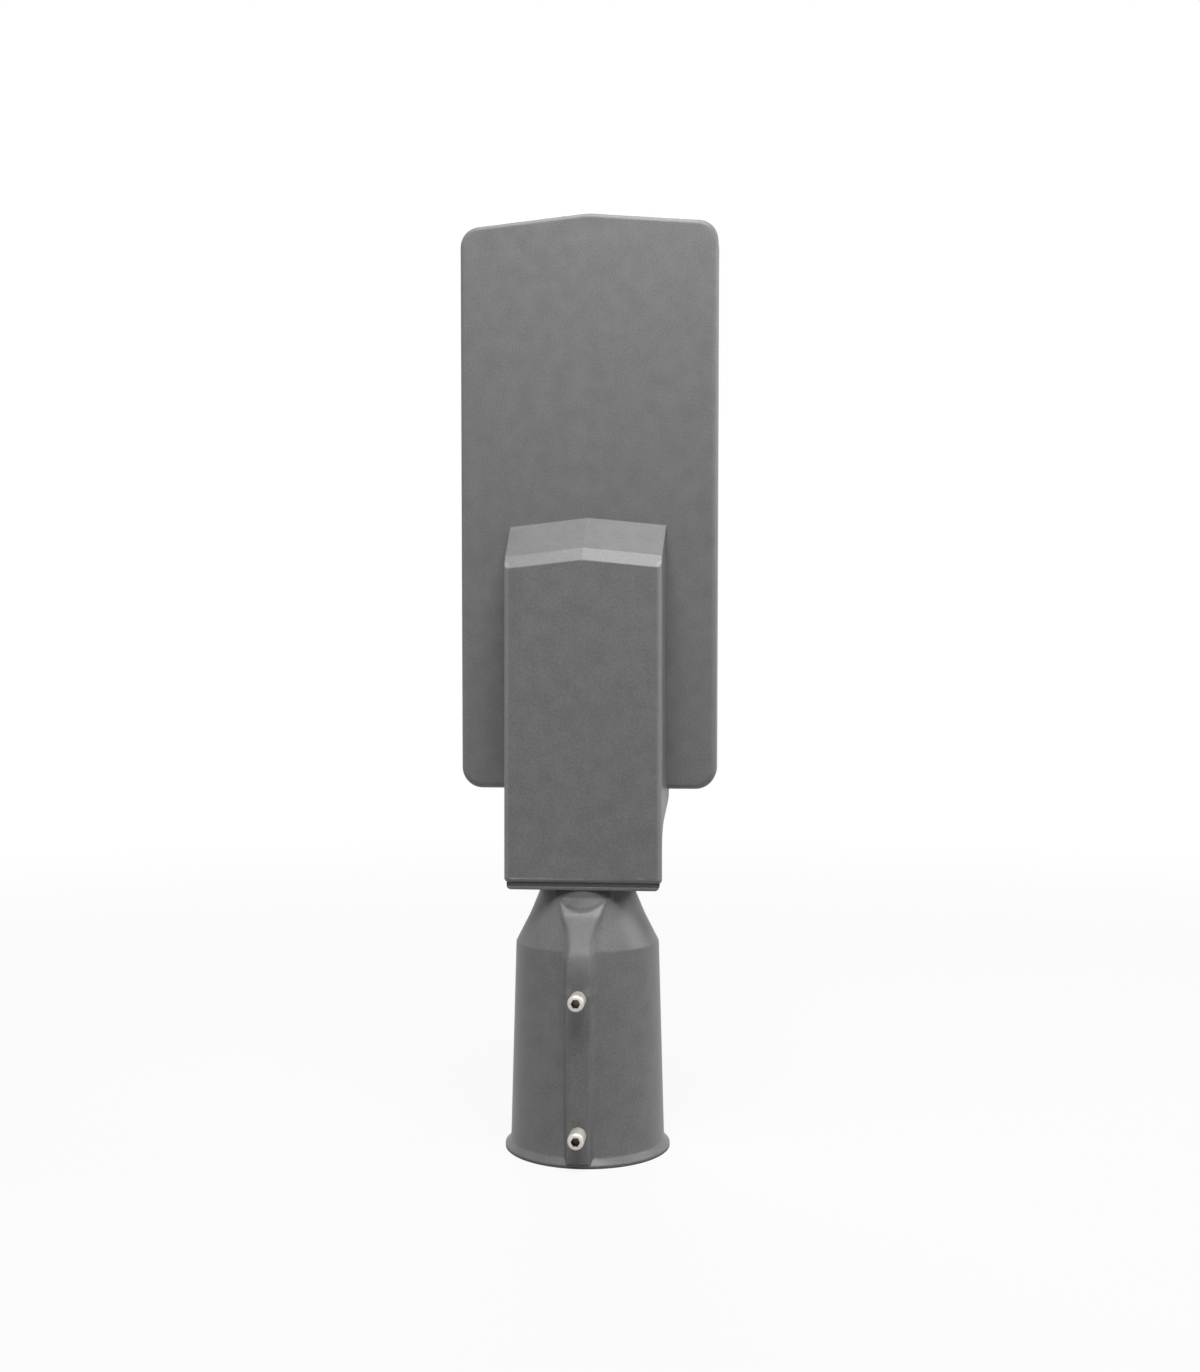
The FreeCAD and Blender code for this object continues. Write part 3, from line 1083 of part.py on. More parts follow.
def surge_protector():
    """Sealed unit with one mounting ear."""
    low = surge_place()
    left = surge_left()
    right = surge_right()
    high = low + SURGE_LENGTH
    body = slab([(left, low, SURGE_ROUND), (right, low, SURGE_ROUND), (right, high, SURGE_ROUND),
                 (left, high, SURGE_ROUND)], SURGE_LEVEL - SURGE_THICKNESS, SURGE_LEVEL)
    middle = low + SURGE_LENGTH / 2
    ear = block(right - SURGE_ROUND, right + SURGE_EAR, SURGE_LEVEL - SURGE_EAR_THICKNESS, SURGE_LEVEL,
                middle - SURGE_EAR / 2, middle + SURGE_EAR / 2)
    body = fused([body, ear])
    return body.cut(along_y(DRIVER_SCREW_RADIUS + BOLT_HOLE_GAP, surge_ear_x(), middle,
                            SURGE_LEVEL - SURGE_EAR_THICKNESS - JUST_PAST, SURGE_LEVEL + JUST_PAST))


def surge_protector_screw():
    """Pan head screw that runs towards the light side."""
    middle = surge_place() + SURGE_LENGTH / 2
    seat = SURGE_LEVEL - SURGE_EAR_THICKNESS
    x = surge_ear_x()
    head = Part.makeCone(2 * DRIVER_SCREW_RADIUS * HEAD_TAPER, 2 * DRIVER_SCREW_RADIUS, DRIVER_SCREW_HEAD,
                         V(x, seat - DRIVER_SCREW_HEAD, middle), Y_AXIS)
    shank = along_y(DRIVER_SCREW_RADIUS, x, middle, seat, seat + SURGE_SCREW_LENGTH)
    return head.fuse(shank).removeSplitter()


def gland_body():
    """Gland body: thread through the end wall, hexagon and the neck that takes the dome nut."""
    hex_top = TRAY_Z - GLAND_WASHER
    hex_low = hex_top - GLAND_FLANGE
    low = hex_low - GLAND_NECK
    body = rod(GLAND_THREAD_RADIUS, V(0, 0, low), Z_AXIS, BAY_Z + GLAND_INSIDE - low)
    body = body.fuse(hexagon(GLAND_HEX, V(0, 0, hex_low), Z_AXIS, GLAND_FLANGE))
    bore = rod(GLAND_BORE, V(0, 0, low - JUST_PAST), Z_AXIS, BAY_Z + GLAND_INSIDE - low + 2 * JUST_PAST)
    seat = rod(CABLE_RADIUS + GLAND_SEAL_WALL, V(0, 0, low - JUST_PAST), Z_AXIS, GLAND_NECK - JUST_PAST)
    return body.cut(bore).cut(seat).removeSplitter()


def gland_washer():
    washer = rod(GLAND_WASHER_RADIUS, V(0, 0, TRAY_Z - GLAND_WASHER), Z_AXIS, GLAND_WASHER)
    hole = rod(GLAND_THREAD_RADIUS + THREAD_GAP, V(0, 0, TRAY_Z - GLAND_WASHER), Z_AXIS, GLAND_WASHER)
    return washer.cut(hole)


def gland_neck_z():
    return TRAY_Z - GLAND_WASHER - GLAND_FLANGE - GLAND_NECK


def gland_seal():
    """Rubber sleeve that closes on the cable."""
    start = V(0, 0, gland_neck_z() - GLAND_SEAL_REACH)
    length = GLAND_NECK - 2 * JUST_PAST + GLAND_SEAL_REACH
    sleeve = rod(CABLE_RADIUS + GLAND_SEAL_WALL, start, Z_AXIS, length)
    return sleeve.cut(rod(CABLE_RADIUS, start, Z_AXIS, length))


def gland_dome_nut():
    """Hexagonal nut with a domed end, on the gland's neck."""
    top = gland_neck_z() + GLAND_DOME_OVERLAP
    low = top - GLAND_DOME_LENGTH
    outer = GLAND_HEX / 2
    nut = hexagon(GLAND_HEX, V(0, 0, low), Z_AXIS, GLAND_DOME_LENGTH)
    shape = revolved([(0, low), (outer * GLAND_DOME_FACE, low),
                      (outer * GLAND_DOME_SHOULDER, low + GLAND_DOME_STEPS[0]),
                      (outer * GLAND_DOME_EDGE, low + GLAND_DOME_STEPS[1]),
                      (outer * GLAND_DOME_EDGE, top), (0, top)], V(0, 0, 0))
    nut = nut.common(shape)
    room = rod(GLAND_THREAD_RADIUS + THREAD_GAP, V(0, 0, gland_neck_z()), Z_AXIS, GLAND_DOME_LENGTH)
    sleeve_room = rod(CABLE_RADIUS + GLAND_SEAL_WALL + THREAD_GAP,
                      V(0, 0, gland_neck_z() - GLAND_SEAL_REACH), Z_AXIS, GLAND_SEAL_REACH + JUST_PAST)
    opening = rod(CABLE_RADIUS + JUST_PAST, V(0, 0, low - JUST_PAST), Z_AXIS, GLAND_DOME_LENGTH)
    return nut.cut(room).cut(sleeve_room).cut(opening)


def gland_lock_nut():
    nut = hexagon(GLAND_HEX, V(0, 0, BAY_Z), Z_AXIS, GLAND_LOCK_NUT)
    hole = rod(GLAND_THREAD_RADIUS + THREAD_GAP, V(0, 0, BAY_Z - JUST_PAST), Z_AXIS,
               GLAND_LOCK_NUT + 2 * JUST_PAST)
    return nut.cut(hole)


def wire_grommet():
    """Rubber grommet in the wall between the bay and the light engine."""
    centre = V(0, LEAD_LEVEL, BAY_TOP_Z)
    flange = rod(GROMMET_FLANGE_RADIUS, centre - Z_AXIS * GROMMET_FLANGE, Z_AXIS, GROMMET_FLANGE)
    sleeve = rod(GROMMET_RADIUS, centre, Z_AXIS, GROMMET_SLEEVE)
    bore = rod(grommet_bore(), centre - Z_AXIS * (GROMMET_FLANGE + JUST_PAST), Z_AXIS,
               GROMMET_SLEEVE + GROMMET_FLANGE + 2 * JUST_PAST)
    return fused([flange, sleeve]).cut(bore)


def grommet_bore():
    return LEAD_OFFSET + LEAD_RADIUS + GROMMET_GAP


def lead_along(points):
    """Lead through points, with each turn an arc as large as its two runs allow."""
    edges = []
    start = points[0]
    for before, corner, after in zip(points, points[1:], points[2:]):
        back = unit(before - corner)
        onward = unit(after - corner)
        half = back.getAngle(onward) / 2
        reach = LEAD_BEND * min((before - corner).Length, (after - corner).Length)
        inward = unit(back + onward)
        radius = reach * math.tan(half)
        arc_start = corner + back * reach
        arc_middle = corner + inward * (radius / math.sin(half) - radius)
        arc_end = corner + onward * reach
        edges.append(Part.LineSegment(start, arc_start).toShape())
        edges.append(Part.Arc(arc_start, arc_middle, arc_end).toShape())
        start = arc_end
    edges.append(Part.LineSegment(start, points[-1]).toShape())
    path = Part.Wire(edges)
    direction = unit(points[1] - points[0])
    section = Part.Wire([Part.Circle(points[0], direction, LEAD_RADIUS).toShape()])
    return path.makePipeShell([section], True, False)


def led_lead(side):
    """Lead from the driver through the grommet to the connector on the board."""
    x = side * LEAD_OFFSET
    start = DRIVER_TOP_Z - CAP_THICKNESS
    low = BOARD_Z + CONNECTOR_GRIP - CONNECTOR_LENGTH
    return lead_along([V(x, LEAD_START_LEVEL, start), V(x, LEAD_START_LEVEL, DRIVER_TOP_Z + LEAD_STRAIGHT),
                       V(x, LEAD_LEVEL, BAY_TOP_Z - LEAD_STRAIGHT), V(x, LEAD_LEVEL, low + LEAD_IN_TERMINAL)])


def supply_lead(index):
    """Lead from a way of the terminal block to the driver."""
    start = V(way_places()[index], terminal_lead_y(), TERMINAL_TOP_Z - LEAD_IN_TERMINAL)
    return rod(LEAD_RADIUS, start, Z_AXIS, DRIVER_Z + CAP_THICKNESS - start.z)


def surge_lead(index):
    """Lead from the surge protector to the terminal block."""
    start = V(way_places()[index], terminal_lead_y(), surge_place() + SURGE_LENGTH)
    return rod(LEAD_RADIUS, start, Z_AXIS, TERMINAL_Z + LEAD_IN_TERMINAL - start.z)


def breather_vent():
    """Screwed vent in the lid, with a domed cap on the light side."""
    z = LID_Z + VENT_FROM_LID_END
    seat = PANEL_DEPTH + VENT_SEAL
    head = Part.makeCone(VENT_HEAD_RADIUS, VENT_HEAD_END_RADIUS, VENT_HEAD, V(VENT_X, seat, z), Y_AXIS)
    vent = head.fuse(along_y(VENT_RADIUS, VENT_X, z, seat - VENT_SHANK, seat))
    air = along_y(VENT_RADIUS / 3, VENT_X, z, seat - VENT_SHANK - JUST_PAST, seat + VENT_HEAD / 2)
    return vent.cut(air).removeSplitter()


def breather_seal():
    z = LID_Z + VENT_FROM_LID_END
    ring = along_y(VENT_HEAD_RADIUS - VENT_SEAL_INSET, VENT_X, z, PANEL_DEPTH, PANEL_DEPTH + VENT_SEAL)
    return ring.cut(along_y(VENT_RADIUS + THREAD_GAP, VENT_X, z, PANEL_DEPTH, PANEL_DEPTH + VENT_SEAL))


def earth_screw():
    return pan_screw(EARTH_X, LID_Z + EARTH_FROM_LID_END, PANEL_PLATE + EARTH_BOSS,
                     EARTH_SCREW_LENGTH - HOLE_SPARE / 2, LID_SCREW_RADIUS, DRIVER_SCREW_HEAD)


def nodes():
    """Every piece by its name."""
    return {
        "housing": housing(),
        "arm_casting": arm_casting(),
        "seam_gasket": seam_gasket(),
        "arm_bolts": arm_bolts(),
        "arm_bolt_washers": arm_bolt_washers(),
        "clamp_screw_lower": clamp_screw(CLAMP_SCREW_LOW),
        "clamp_screw_upper": clamp_screw(CLAMP_SCREW_HIGH),
        "thermal_pad": thermal_pad(),
        "led_board": led_board(),
        "led_board_screws": led_board_screws(),
        "led_chips": led_chips(),
        "led_connector": led_connector(),
        "lens_plate": lens_plate(),
        "lens_gasket": lens_gasket(),
        "lens_screws": lens_screws(),
        "gear_lid": gear_lid(),
        "gear_lid_gasket": gear_lid_gasket(),
        "gear_lid_screws": gear_lid_screws(),
        "driver_case": driver_case(),
        "driver_lower_cap": driver_lower_cap(),
        "driver_upper_cap": driver_upper_cap(),
        "driver_screws": driver_screws(),
        "terminal_block": terminal_block(),
        "terminal_clamp_screws": terminal_clamp_screws(),
        "terminal_block_screws": terminal_block_screws(),
        "surge_protector": surge_protector(),
        "surge_protector_screw": surge_protector_screw(),
        "gland_body": gland_body(),
        "gland_washer": gland_washer(),
        "gland_seal": gland_seal(),
        "gland_dome_nut": gland_dome_nut(),
        "gland_lock_nut": gland_lock_nut(),
        "wire_grommet": wire_grommet(),
        "led_lead_plus": led_lead(1),
        "led_lead_minus": led_lead(-1),
        "supply_lead_live": supply_lead(0),
        "supply_lead_neutral": supply_lead(1),
        "surge_lead_live": surge_lead(0),
        "surge_lead_neutral": surge_lead(1),
        "breather_vent": breather_vent(),
        "breather_seal": breather_seal(),
        "earth_screw": earth_screw(),
    }


os.makedirs("parts", exist_ok=True)
for name, shape in nodes().items():
    solids = shape.Solids
    print(name, "solids", len(solids), "valid", shape.isValid(), "volume", round(shape.Volume, 1))
    if len(solids) == 1:
        shape = solids[0]
    shape.exportStep(f"parts/{name}.step")
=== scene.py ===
"""LED street light head: finishes, detailed pieces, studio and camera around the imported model.

Metres, in the part's own frame: +Z runs up the socket's axis, -Y is the sky side and +Y the light side.
"""

import json
import logging
import math
from collections.abc import Callable
from dataclasses import dataclass
from enum import Enum

import bpy
from mathutils import Matrix, Vector

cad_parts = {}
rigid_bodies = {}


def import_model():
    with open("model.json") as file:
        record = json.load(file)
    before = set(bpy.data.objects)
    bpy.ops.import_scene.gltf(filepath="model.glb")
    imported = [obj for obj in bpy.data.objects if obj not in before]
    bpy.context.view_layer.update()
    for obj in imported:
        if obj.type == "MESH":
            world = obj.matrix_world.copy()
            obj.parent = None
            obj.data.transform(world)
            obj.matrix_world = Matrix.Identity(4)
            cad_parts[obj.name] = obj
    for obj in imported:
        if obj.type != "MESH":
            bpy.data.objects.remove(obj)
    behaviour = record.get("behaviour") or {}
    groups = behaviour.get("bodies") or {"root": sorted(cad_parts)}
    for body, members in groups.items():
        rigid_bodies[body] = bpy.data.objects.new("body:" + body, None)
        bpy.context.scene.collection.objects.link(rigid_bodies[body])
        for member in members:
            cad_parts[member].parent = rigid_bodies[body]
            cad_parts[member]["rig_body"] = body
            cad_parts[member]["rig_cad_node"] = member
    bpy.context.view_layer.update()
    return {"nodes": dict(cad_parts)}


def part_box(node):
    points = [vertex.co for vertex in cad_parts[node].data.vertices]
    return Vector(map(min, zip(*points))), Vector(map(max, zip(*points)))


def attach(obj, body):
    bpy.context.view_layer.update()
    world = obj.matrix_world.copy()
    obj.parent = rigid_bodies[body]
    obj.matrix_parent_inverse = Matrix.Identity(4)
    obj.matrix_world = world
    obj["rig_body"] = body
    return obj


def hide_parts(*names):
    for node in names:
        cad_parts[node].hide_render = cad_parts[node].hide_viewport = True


LOG = logging.getLogger("street_light_head")
MM = 0.001
BODY = "root"
Piece = bpy.types.Object
Material = bpy.types.Material
Colour = tuple[float, float, float]
Scales = tuple[float, float, float]
Box = tuple[Vector, Vector]
Test = Callable[[Vector, Vector], bool]


# Shader graphs

NOISE_SPAN = (0.3, 0.7)
MIX_SHARE, MIX_BELOW, MIX_ABOVE, MIX_RESULT = 0, 6, 7, 2


class Value:
    """A socket of a shader graph that takes part in sums as a number does."""

    def __init__(self, graph: "Graph", socket: "bpy.types.NodeSocket | None") -> None:
        """Keeps the graph and the output socket, which an output node doesn't have."""
        self.graph = graph
        self.socket = socket

    def combine(self, operation: str, *terms: "Value | float") -> "Value":
        """Result of one Math node, with the terms on its sockets in order."""
        return self.graph.add("ShaderNodeMath", {"operation": operation}, dict(enumerate(terms)))

    def __add__(self, other: "Value | float") -> "Value":
        """Sum."""
        return self.combine("ADD", self, other)

    def __radd__(self, other: float) -> "Value":
        """Sum with a number first."""
        return self.combine("ADD", other, self)

    def __sub__(self, other: "Value | float") -> "Value":
        """Difference."""
        return self.combine("SUBTRACT", self, other)

    def __rsub__(self, other: float) -> "Value":
        """Difference from a number."""
        return self.combine("SUBTRACT", other, self)

    def __mul__(self, other: "Value | float") -> "Value":
        """Product."""
        return self.combine("MULTIPLY", self, other)

    def __rmul__(self, other: float) -> "Value":
        """Product with a number first."""
        return self.combine("MULTIPLY", other, self)

    def size(self) -> "Value":
        """The value without its sign."""
        return self.combine("ABSOLUTE", self)

    def highest(self, other: "Value | float") -> "Value":
        """The larger of two values."""
        return self.combine("MAXIMUM", self, other)

    def wave(self, length: float) -> "Value":
        """Sine of a place along an axis, with one turn in each stated length."""
        return self.combine("SINE", self * (2 * math.pi / length))

    def root(self) -> "Value":
        """Square root."""
        return self.combine("SQRT", self)

    def between(self, low: float, high: float) -> "Value":
        """Smooth step from 0 at low to 1 at high."""
        return self.graph.add("ShaderNodeMapRange", {"interpolation_type": "SMOOTHSTEP"},
                              {"Value": self, "From Min": low, "From Max": high})

    def fading(self, low: float, high: float) -> "Value":
        """Smooth step from 1 at low to 0 at high."""
        return 1.0 - self.between(low, high)

    def within(self, half: float, core: float) -> "Value":
        """Value 1 near a place of 0, that fades out from a core's share of half to half."""
        return self.size().fading(half * core, half)

    def band(self, low: float, high: float, fade_down: float, fade_up: float) -> "Value":
        """Value 1 from low to high, that fades out below and above."""
        return self.between(low - fade_down, low) * self.fading(high, high + fade_up)

    def spread(self) -> "Value":
        """Noise stretched so that it fills the range from 0 to 1."""
        return self.between(*NOISE_SPAN)


class Graph:
    """The node tree of one material or world."""

    def __init__(self, owner: "bpy.types.Material | bpy.types.World") -> None:
        """Starts with an empty tree."""
        self.owner = owner
        owner.use_nodes = True
        self.tree = owner.node_tree
        self.tree.nodes.clear()

    def add(self, kind: str, settings: dict | None = None, inputs: dict | None = None,
            output: int | str = 0) -> Value:
        """Adds one node.

        Args:
            kind: the node's type name.
            settings: its properties, set before its sockets.
            inputs: numbers, colours or values by socket name or index.
            output: which of its outputs is returned.

        Returns:
            The chosen output as a value.
        """
        node = self.tree.nodes.new(kind)
        for name, setting in (settings or {}).items():
            setattr(node, name, setting)
        for name, value in (inputs or {}).items():
            if isinstance(value, Value):
                self.tree.links.new(value.socket, node.inputs[name])
            else:
                node.inputs[name].default_value = value
        return Value(self, node.outputs[output]) if len(node.outputs) else Value(self, None)

    def position(self) -> Value:
        """Object coordinates."""
        return self.add("ShaderNodeTexCoord", output="Object")

    def axes(self) -> tuple[Value, ...]:
        """Object coordinates as three values: x, y and z."""
        outputs = self.add("ShaderNodeSeparateXYZ", inputs={0: self.position()}).socket.node.outputs
        return tuple(Value(self, output) for output in outputs)

    def noise(self, feature: float, detail: float = 2.0, stretch: Scales = (1.0, 1.0, 1.0)) -> Value:
        """Noise whose features are about as large as stated.

        Args:
            feature: size of a feature in metres.
            detail: how many finer layers it has.
            stretch: scale along each axis, below 1 for long streaks.

        Returns:
            A value from 0 to 1, mostly near 0.5.
        """
        place = self.add("ShaderNodeMapping", inputs={"Vector": self.position(), "Scale": stretch})
        inputs = {"Vector": place, "Scale": 1.0 / feature, "Detail": detail}
        return self.add("ShaderNodeTexNoise", inputs=inputs)

    def cover(self, share: Value, below: Value | Colour, above: Colour) -> Value:
        """Colour laid over another by a mask.

        Args:
            share: the mask.
            below: the colour where the mask is 0.
            above: the colour where the mask is 1.

        Returns:
            The colour of both.
        """
        lower = below if isinstance(below, Value) else (*below, 1.0)
        inputs = {MIX_SHARE: share, MIX_BELOW: lower, MIX_ABOVE: (*above, 1.0)}
        return self.add("ShaderNodeMix", {"data_type": "RGBA"}, inputs, MIX_RESULT)

    def bump(self, height: Value, depth: float, strength: float = 1.0, over: Value | None = None) -> Value:
        """Normal that follows a height from 0 to 1 over a depth in metres.

        Args:
            height: the height.
            depth: distance that a height of 1 stands for.
            strength: how much of it shows.
            over: normal that it is laid on, or the mesh's own.

        Returns:
            The normal.
        """
        inputs = {"Height": height, "Distance": depth, "Strength": strength}
        if over:
            inputs["Normal"] = over
        return self.add("ShaderNodeBump", inputs=inputs)

    def close(self, shader: Value) -> None:
        """Links the last shader to the output."""
        is_world = isinstance(self.owner, bpy.types.World)
        self.add("ShaderNodeOutputWorld" if is_world else "ShaderNodeOutputMaterial",
                 inputs={"Surface": shader})

    def surface(self, sockets: dict) -> Material:
        """Material that ends in one Principled shader with the stated sockets."""
        self.close(self.add("ShaderNodeBsdfPrincipled", inputs=sockets))
        return self.owner


def graph_of(name: str) -> Graph:
    """Empty material graph of that name."""
    return Graph(bpy.data.materials.new(name))


def shade(colour: Colour, factor: float) -> Colour:
    """A colour made lighter or darker by a factor."""
    return colour[0] * factor, colour[1] * factor, colour[2] * factor


# Wear, painted shade and painted highlights on the coat


@dataclass(frozen=True, kw_only=True)
class Mark:
    """A mark on the coat in a colour of its own, which fades out behind a front on the Y axis: real wear, a
    dark halo, painted shade or a painted highlight.
    """

    share: float
    front: float
    fade_back: float
    colour: Colour
    dulling: float = 0.0

    def mask(self, graph: Graph) -> Value:
        """Value up to the stated share on the mark and 0 elsewhere."""
        x, y, z = graph.axes()
        return self.pattern(x, z) * self.share * y.fading(self.front, self.front + self.fade_back)

    def pattern(self, x: Value, z: Value) -> Value:
        """Value 1 inside the mark's outline and 0 outside, as seen from the sky side."""
        raise NotImplementedError


@dataclass(frozen=True, kw_only=True)
class Scratch(Mark):
    """A short light mark a little off level; its cores are the shares of its size that show in full."""

    x: float
    z: float
    half_length: float
    half_width: float
    length_core: float = 0.6
    width_core: float = 0.4
    slant: float = 0.06
    front: float = -23.6 * MM
    fade_back: float = 0.6 * MM
    share: float = 0.38
    colour: Colour = (0.40, 0.40, 0.40)

    def pattern(self, x: Value, z: Value) -> Value:
        """Short line."""
        off = z - (x - self.x) * self.slant - self.z
        return ((x - self.x).within(self.half_length, self.length_core)
                * off.within(self.half_width, self.width_core))


@dataclass(frozen=True, kw_only=True)
class PaintedShadeBand(Mark):
    """Painted shade in a corner or under an overhang, in a band that is level or bends up at both ends."""

    low: float
    high: float
    fade_down: float
    fade_up: float
    bend: float = 0.0
    reach: float = 60.0 * MM
    reach_core: float = 0.9
    front: float = -16.0 * MM
    fade_back: float = 2.0 * MM
    # dark colour of the painted shade
    colour: Colour = (0.045, 0.045, 0.046)
    dulling: float = 0.4

    def pattern(self, x: Value, z: Value) -> Value:
        """Band from its lower to its upper edge, out to its reach."""
        band = (z - x * x * self.bend).band(self.low, self.high, self.fade_down, self.fade_up)
        return band * x.within(self.reach, self.reach_core)


@dataclass(frozen=True, kw_only=True)
class PaintedEdgeHighlight(Mark):
    """Painted highlight along a pair of long rounded edges, one on each side."""

    foot: float
    top: float
    half_foot: float
    half_top: float
    width: float
    width_core: float = 0.4
    fade_ends: float = 1.5 * MM
    fade_back: float = 1.2 * MM
    # pale colour of the painted highlight
    colour: Colour = (0.36, 0.36, 0.36)

    def pattern(self, x: Value, z: Value) -> Value:
        """Two lines, at half the casting's width to each side.

        Args:
            x: place across the part.
            z: place along the socket's axis.

        Returns:
            Value 1 on the lines and 0 elsewhere.
        """
        slope = (self.half_top - self.half_foot) / (self.top - self.foot)
        half = (z - self.foot) * slope + self.half_foot
        line = (half - x.size()).fading(self.width * self.width_core, self.width)
        ends = z.band(self.foot + self.fade_ends, self.top - self.fade_ends, self.fade_ends, self.fade_ends)
        return line * ends


@dataclass(frozen=True, kw_only=True)
class ScrewHalo(Mark):
    """Faint dark halo on the rib just above a clamp screw."""

    height: float
    lift: float = 4.6 * MM
    core: float = 1.2 * MM
    reach: float = 4.6 * MM
    squash: float = 0.8
    front: float = -40.8 * MM
    fade_back: float = 1.3 * MM
    share: float = 0.38
    colour: Colour = (0.075, 0.075, 0.062)

    def pattern(self, x: Value, z: Value) -> Value:
        """Round spot."""
        up = z - (self.height + self.lift)
        return (x * x + up * up * self.squash).root().fading(self.core, self.reach)


# Finishes


@dataclass(frozen=True)
class PowderCoat:
    """Grey powder coat with a fine mottled texture, as on the castings and the lid."""

    name: str
    marks: tuple[Mark, ...] = ()
    grey: Colour = (0.1735, 0.1715, 0.1730)
    contrast: float = 0.16
    grain: float = 0.9 * MM
    cloud: float = 9.0 * MM
    grain_share: float = 0.62
    roughness: float = 0.42
    roughness_swing: float = 0.14
    roughness_span: tuple[float, float] = (0.2, 0.8)
    pebble: float = 1.17 * MM
    swell: float = 3.15 * MM
    pebble_share: float = 0.6
    relief: float = 0.08 * MM
    relief_strength: float = 0.45
    edge: float = 0.9 * MM
    edge_samples: int = 6
    refraction: float = 1.46

    def material(self) -> Material:
        """Builds the finish, with its marks laid on in order.

        Returns:
            The material.
        """
        graph = graph_of(self.name)
        grain, cloud = graph.noise(self.grain, detail=3.0), graph.noise(self.cloud, detail=3.0)
        mottle = grain * self.grain_share + cloud * (1.0 - self.grain_share)
        colour = graph.cover(mottle.spread(), shade(self.grey, 1.0 - self.contrast),
                             shade(self.grey, 1.0 + self.contrast))
        roughness = (mottle.between(*self.roughness_span) * self.roughness_swing
                     + (self.roughness - self.roughness_swing / 2))
        # The marks lay wear, painted shade and painted highlights over the coat's colour.
        for mark in self.marks:
            share = mark.mask(graph)
            colour = graph.cover(share, colour, mark.colour)
            if mark.dulling:
                roughness = roughness + share * mark.dulling
        height = (graph.noise(self.pebble) * self.pebble_share
                  + graph.noise(self.swell, detail=1.0) * (1.0 - self.pebble_share))
        edges = graph.add("ShaderNodeBevel", {"samples": self.edge_samples}, {"Radius": self.edge})
        return graph.surface({
            "Base Color": colour,
            "Roughness": roughness,
            "Normal": graph.bump(height, self.relief, self.relief_strength, edges),
            "IOR": self.refraction,
        })


@dataclass(frozen=True)
class Metal:
    """Bare or plated metal with fine turning or brushing marks."""

    name: str
    colour: Colour
    metallic: float = 1.0
    roughness: float = 0.26
    grain: float = 0.4 * MM
    haze: float = 4.0 * MM
    stretch: Scales = (1.0, 1.0, 1.0)
    relief: float = 0.012 * MM
    relief_strength: float = 0.6
    shades: tuple[float, float] = (0.92, 1.04)
    haze_swing: float = 0.12
    mark_swing: float = 0.08

    def material(self) -> Material:
        """Builds the finish.

        Returns:
            The material.
        """
        graph = graph_of(self.name)
        marks = graph.noise(self.grain, detail=3.0, stretch=self.stretch)
        haze = graph.noise(self.haze, detail=1.0)
        dark, light = (shade(self.colour, factor) for factor in self.shades)
        smoothest = self.roughness - (self.haze_swing + self.mark_swing) / 2
        return graph.surface({
            "Base Color": graph.cover(((marks + haze) * 0.5).spread(), dark, light),
            "Metallic": self.metallic,
            "Roughness": haze.spread() * self.haze_swing + marks * self.mark_swing + smoothest,
            "Normal": graph.bump(marks, self.relief, self.relief_strength),
        })


@dataclass(frozen=True)
class Plastic:
    """Moulded plastic or rubber with a fine spark texture."""

    name: str
    colour: Colour
    roughness: float = 0.42
    grain: float = 0.35 * MM
    cloud: float = 9.0 * MM
    grain_share: float = 0.4
    relief: float = 0.02 * MM
    relief_strength: float = 0.7
    shades: tuple[float, float] = (0.88, 1.10)
    roughness_swing: float = 0.10
    sheen: float = 0.0

    def material(self) -> Material:
        """Builds the finish.

        Returns:
            The material.
        """
        graph = graph_of(self.name)
        grain, cloud = graph.noise(self.grain), graph.noise(self.cloud)
        dark, light = (shade(self.colour, factor) for factor in self.shades)
        mottle = grain * self.grain_share + cloud * (1.0 - self.grain_share)
        smoothest = self.roughness - self.roughness_swing / 2
        return graph.surface({
            "Base Color": graph.cover(mottle.spread(), dark, light),
            "Roughness": cloud.spread() * self.roughness_swing + smoothest,
            "Normal": graph.bump(grain, self.relief, self.relief_strength),
            "Sheen Weight": self.sheen,
        })


@dataclass(frozen=True)
class ClearPlastic:
    """Clear moulded cover with faint flow marks."""

    name: str
    tint: Colour = (0.93, 0.95, 0.96)
    flow: float = 14.0 * MM
    flow_stretch: Scales = (1.0, 1.0, 0.4)
    relief: float = 0.02 * MM
    relief_strength: float = 0.3
    darkest: float = 0.97
    clearness: float = 0.92
    refraction: float = 1.58
    smoothest: float = 0.04
    roughness_swing: float = 0.05

    def material(self) -> Material:
        """Builds the finish.

        Returns:
            The material.
        """
        graph = graph_of(self.name)
        flow = graph.noise(self.flow, stretch=self.flow_stretch)
        return graph.surface({
            "Base Color": graph.cover(flow.spread(), shade(self.tint, self.darkest), self.tint),
            "Transmission Weight": self.clearness,
            "IOR": self.refraction,
            "Roughness": flow.spread() * self.roughness_swing + self.smoothest,
            "Normal": graph.bump(flow, self.relief, self.relief_strength),
        })


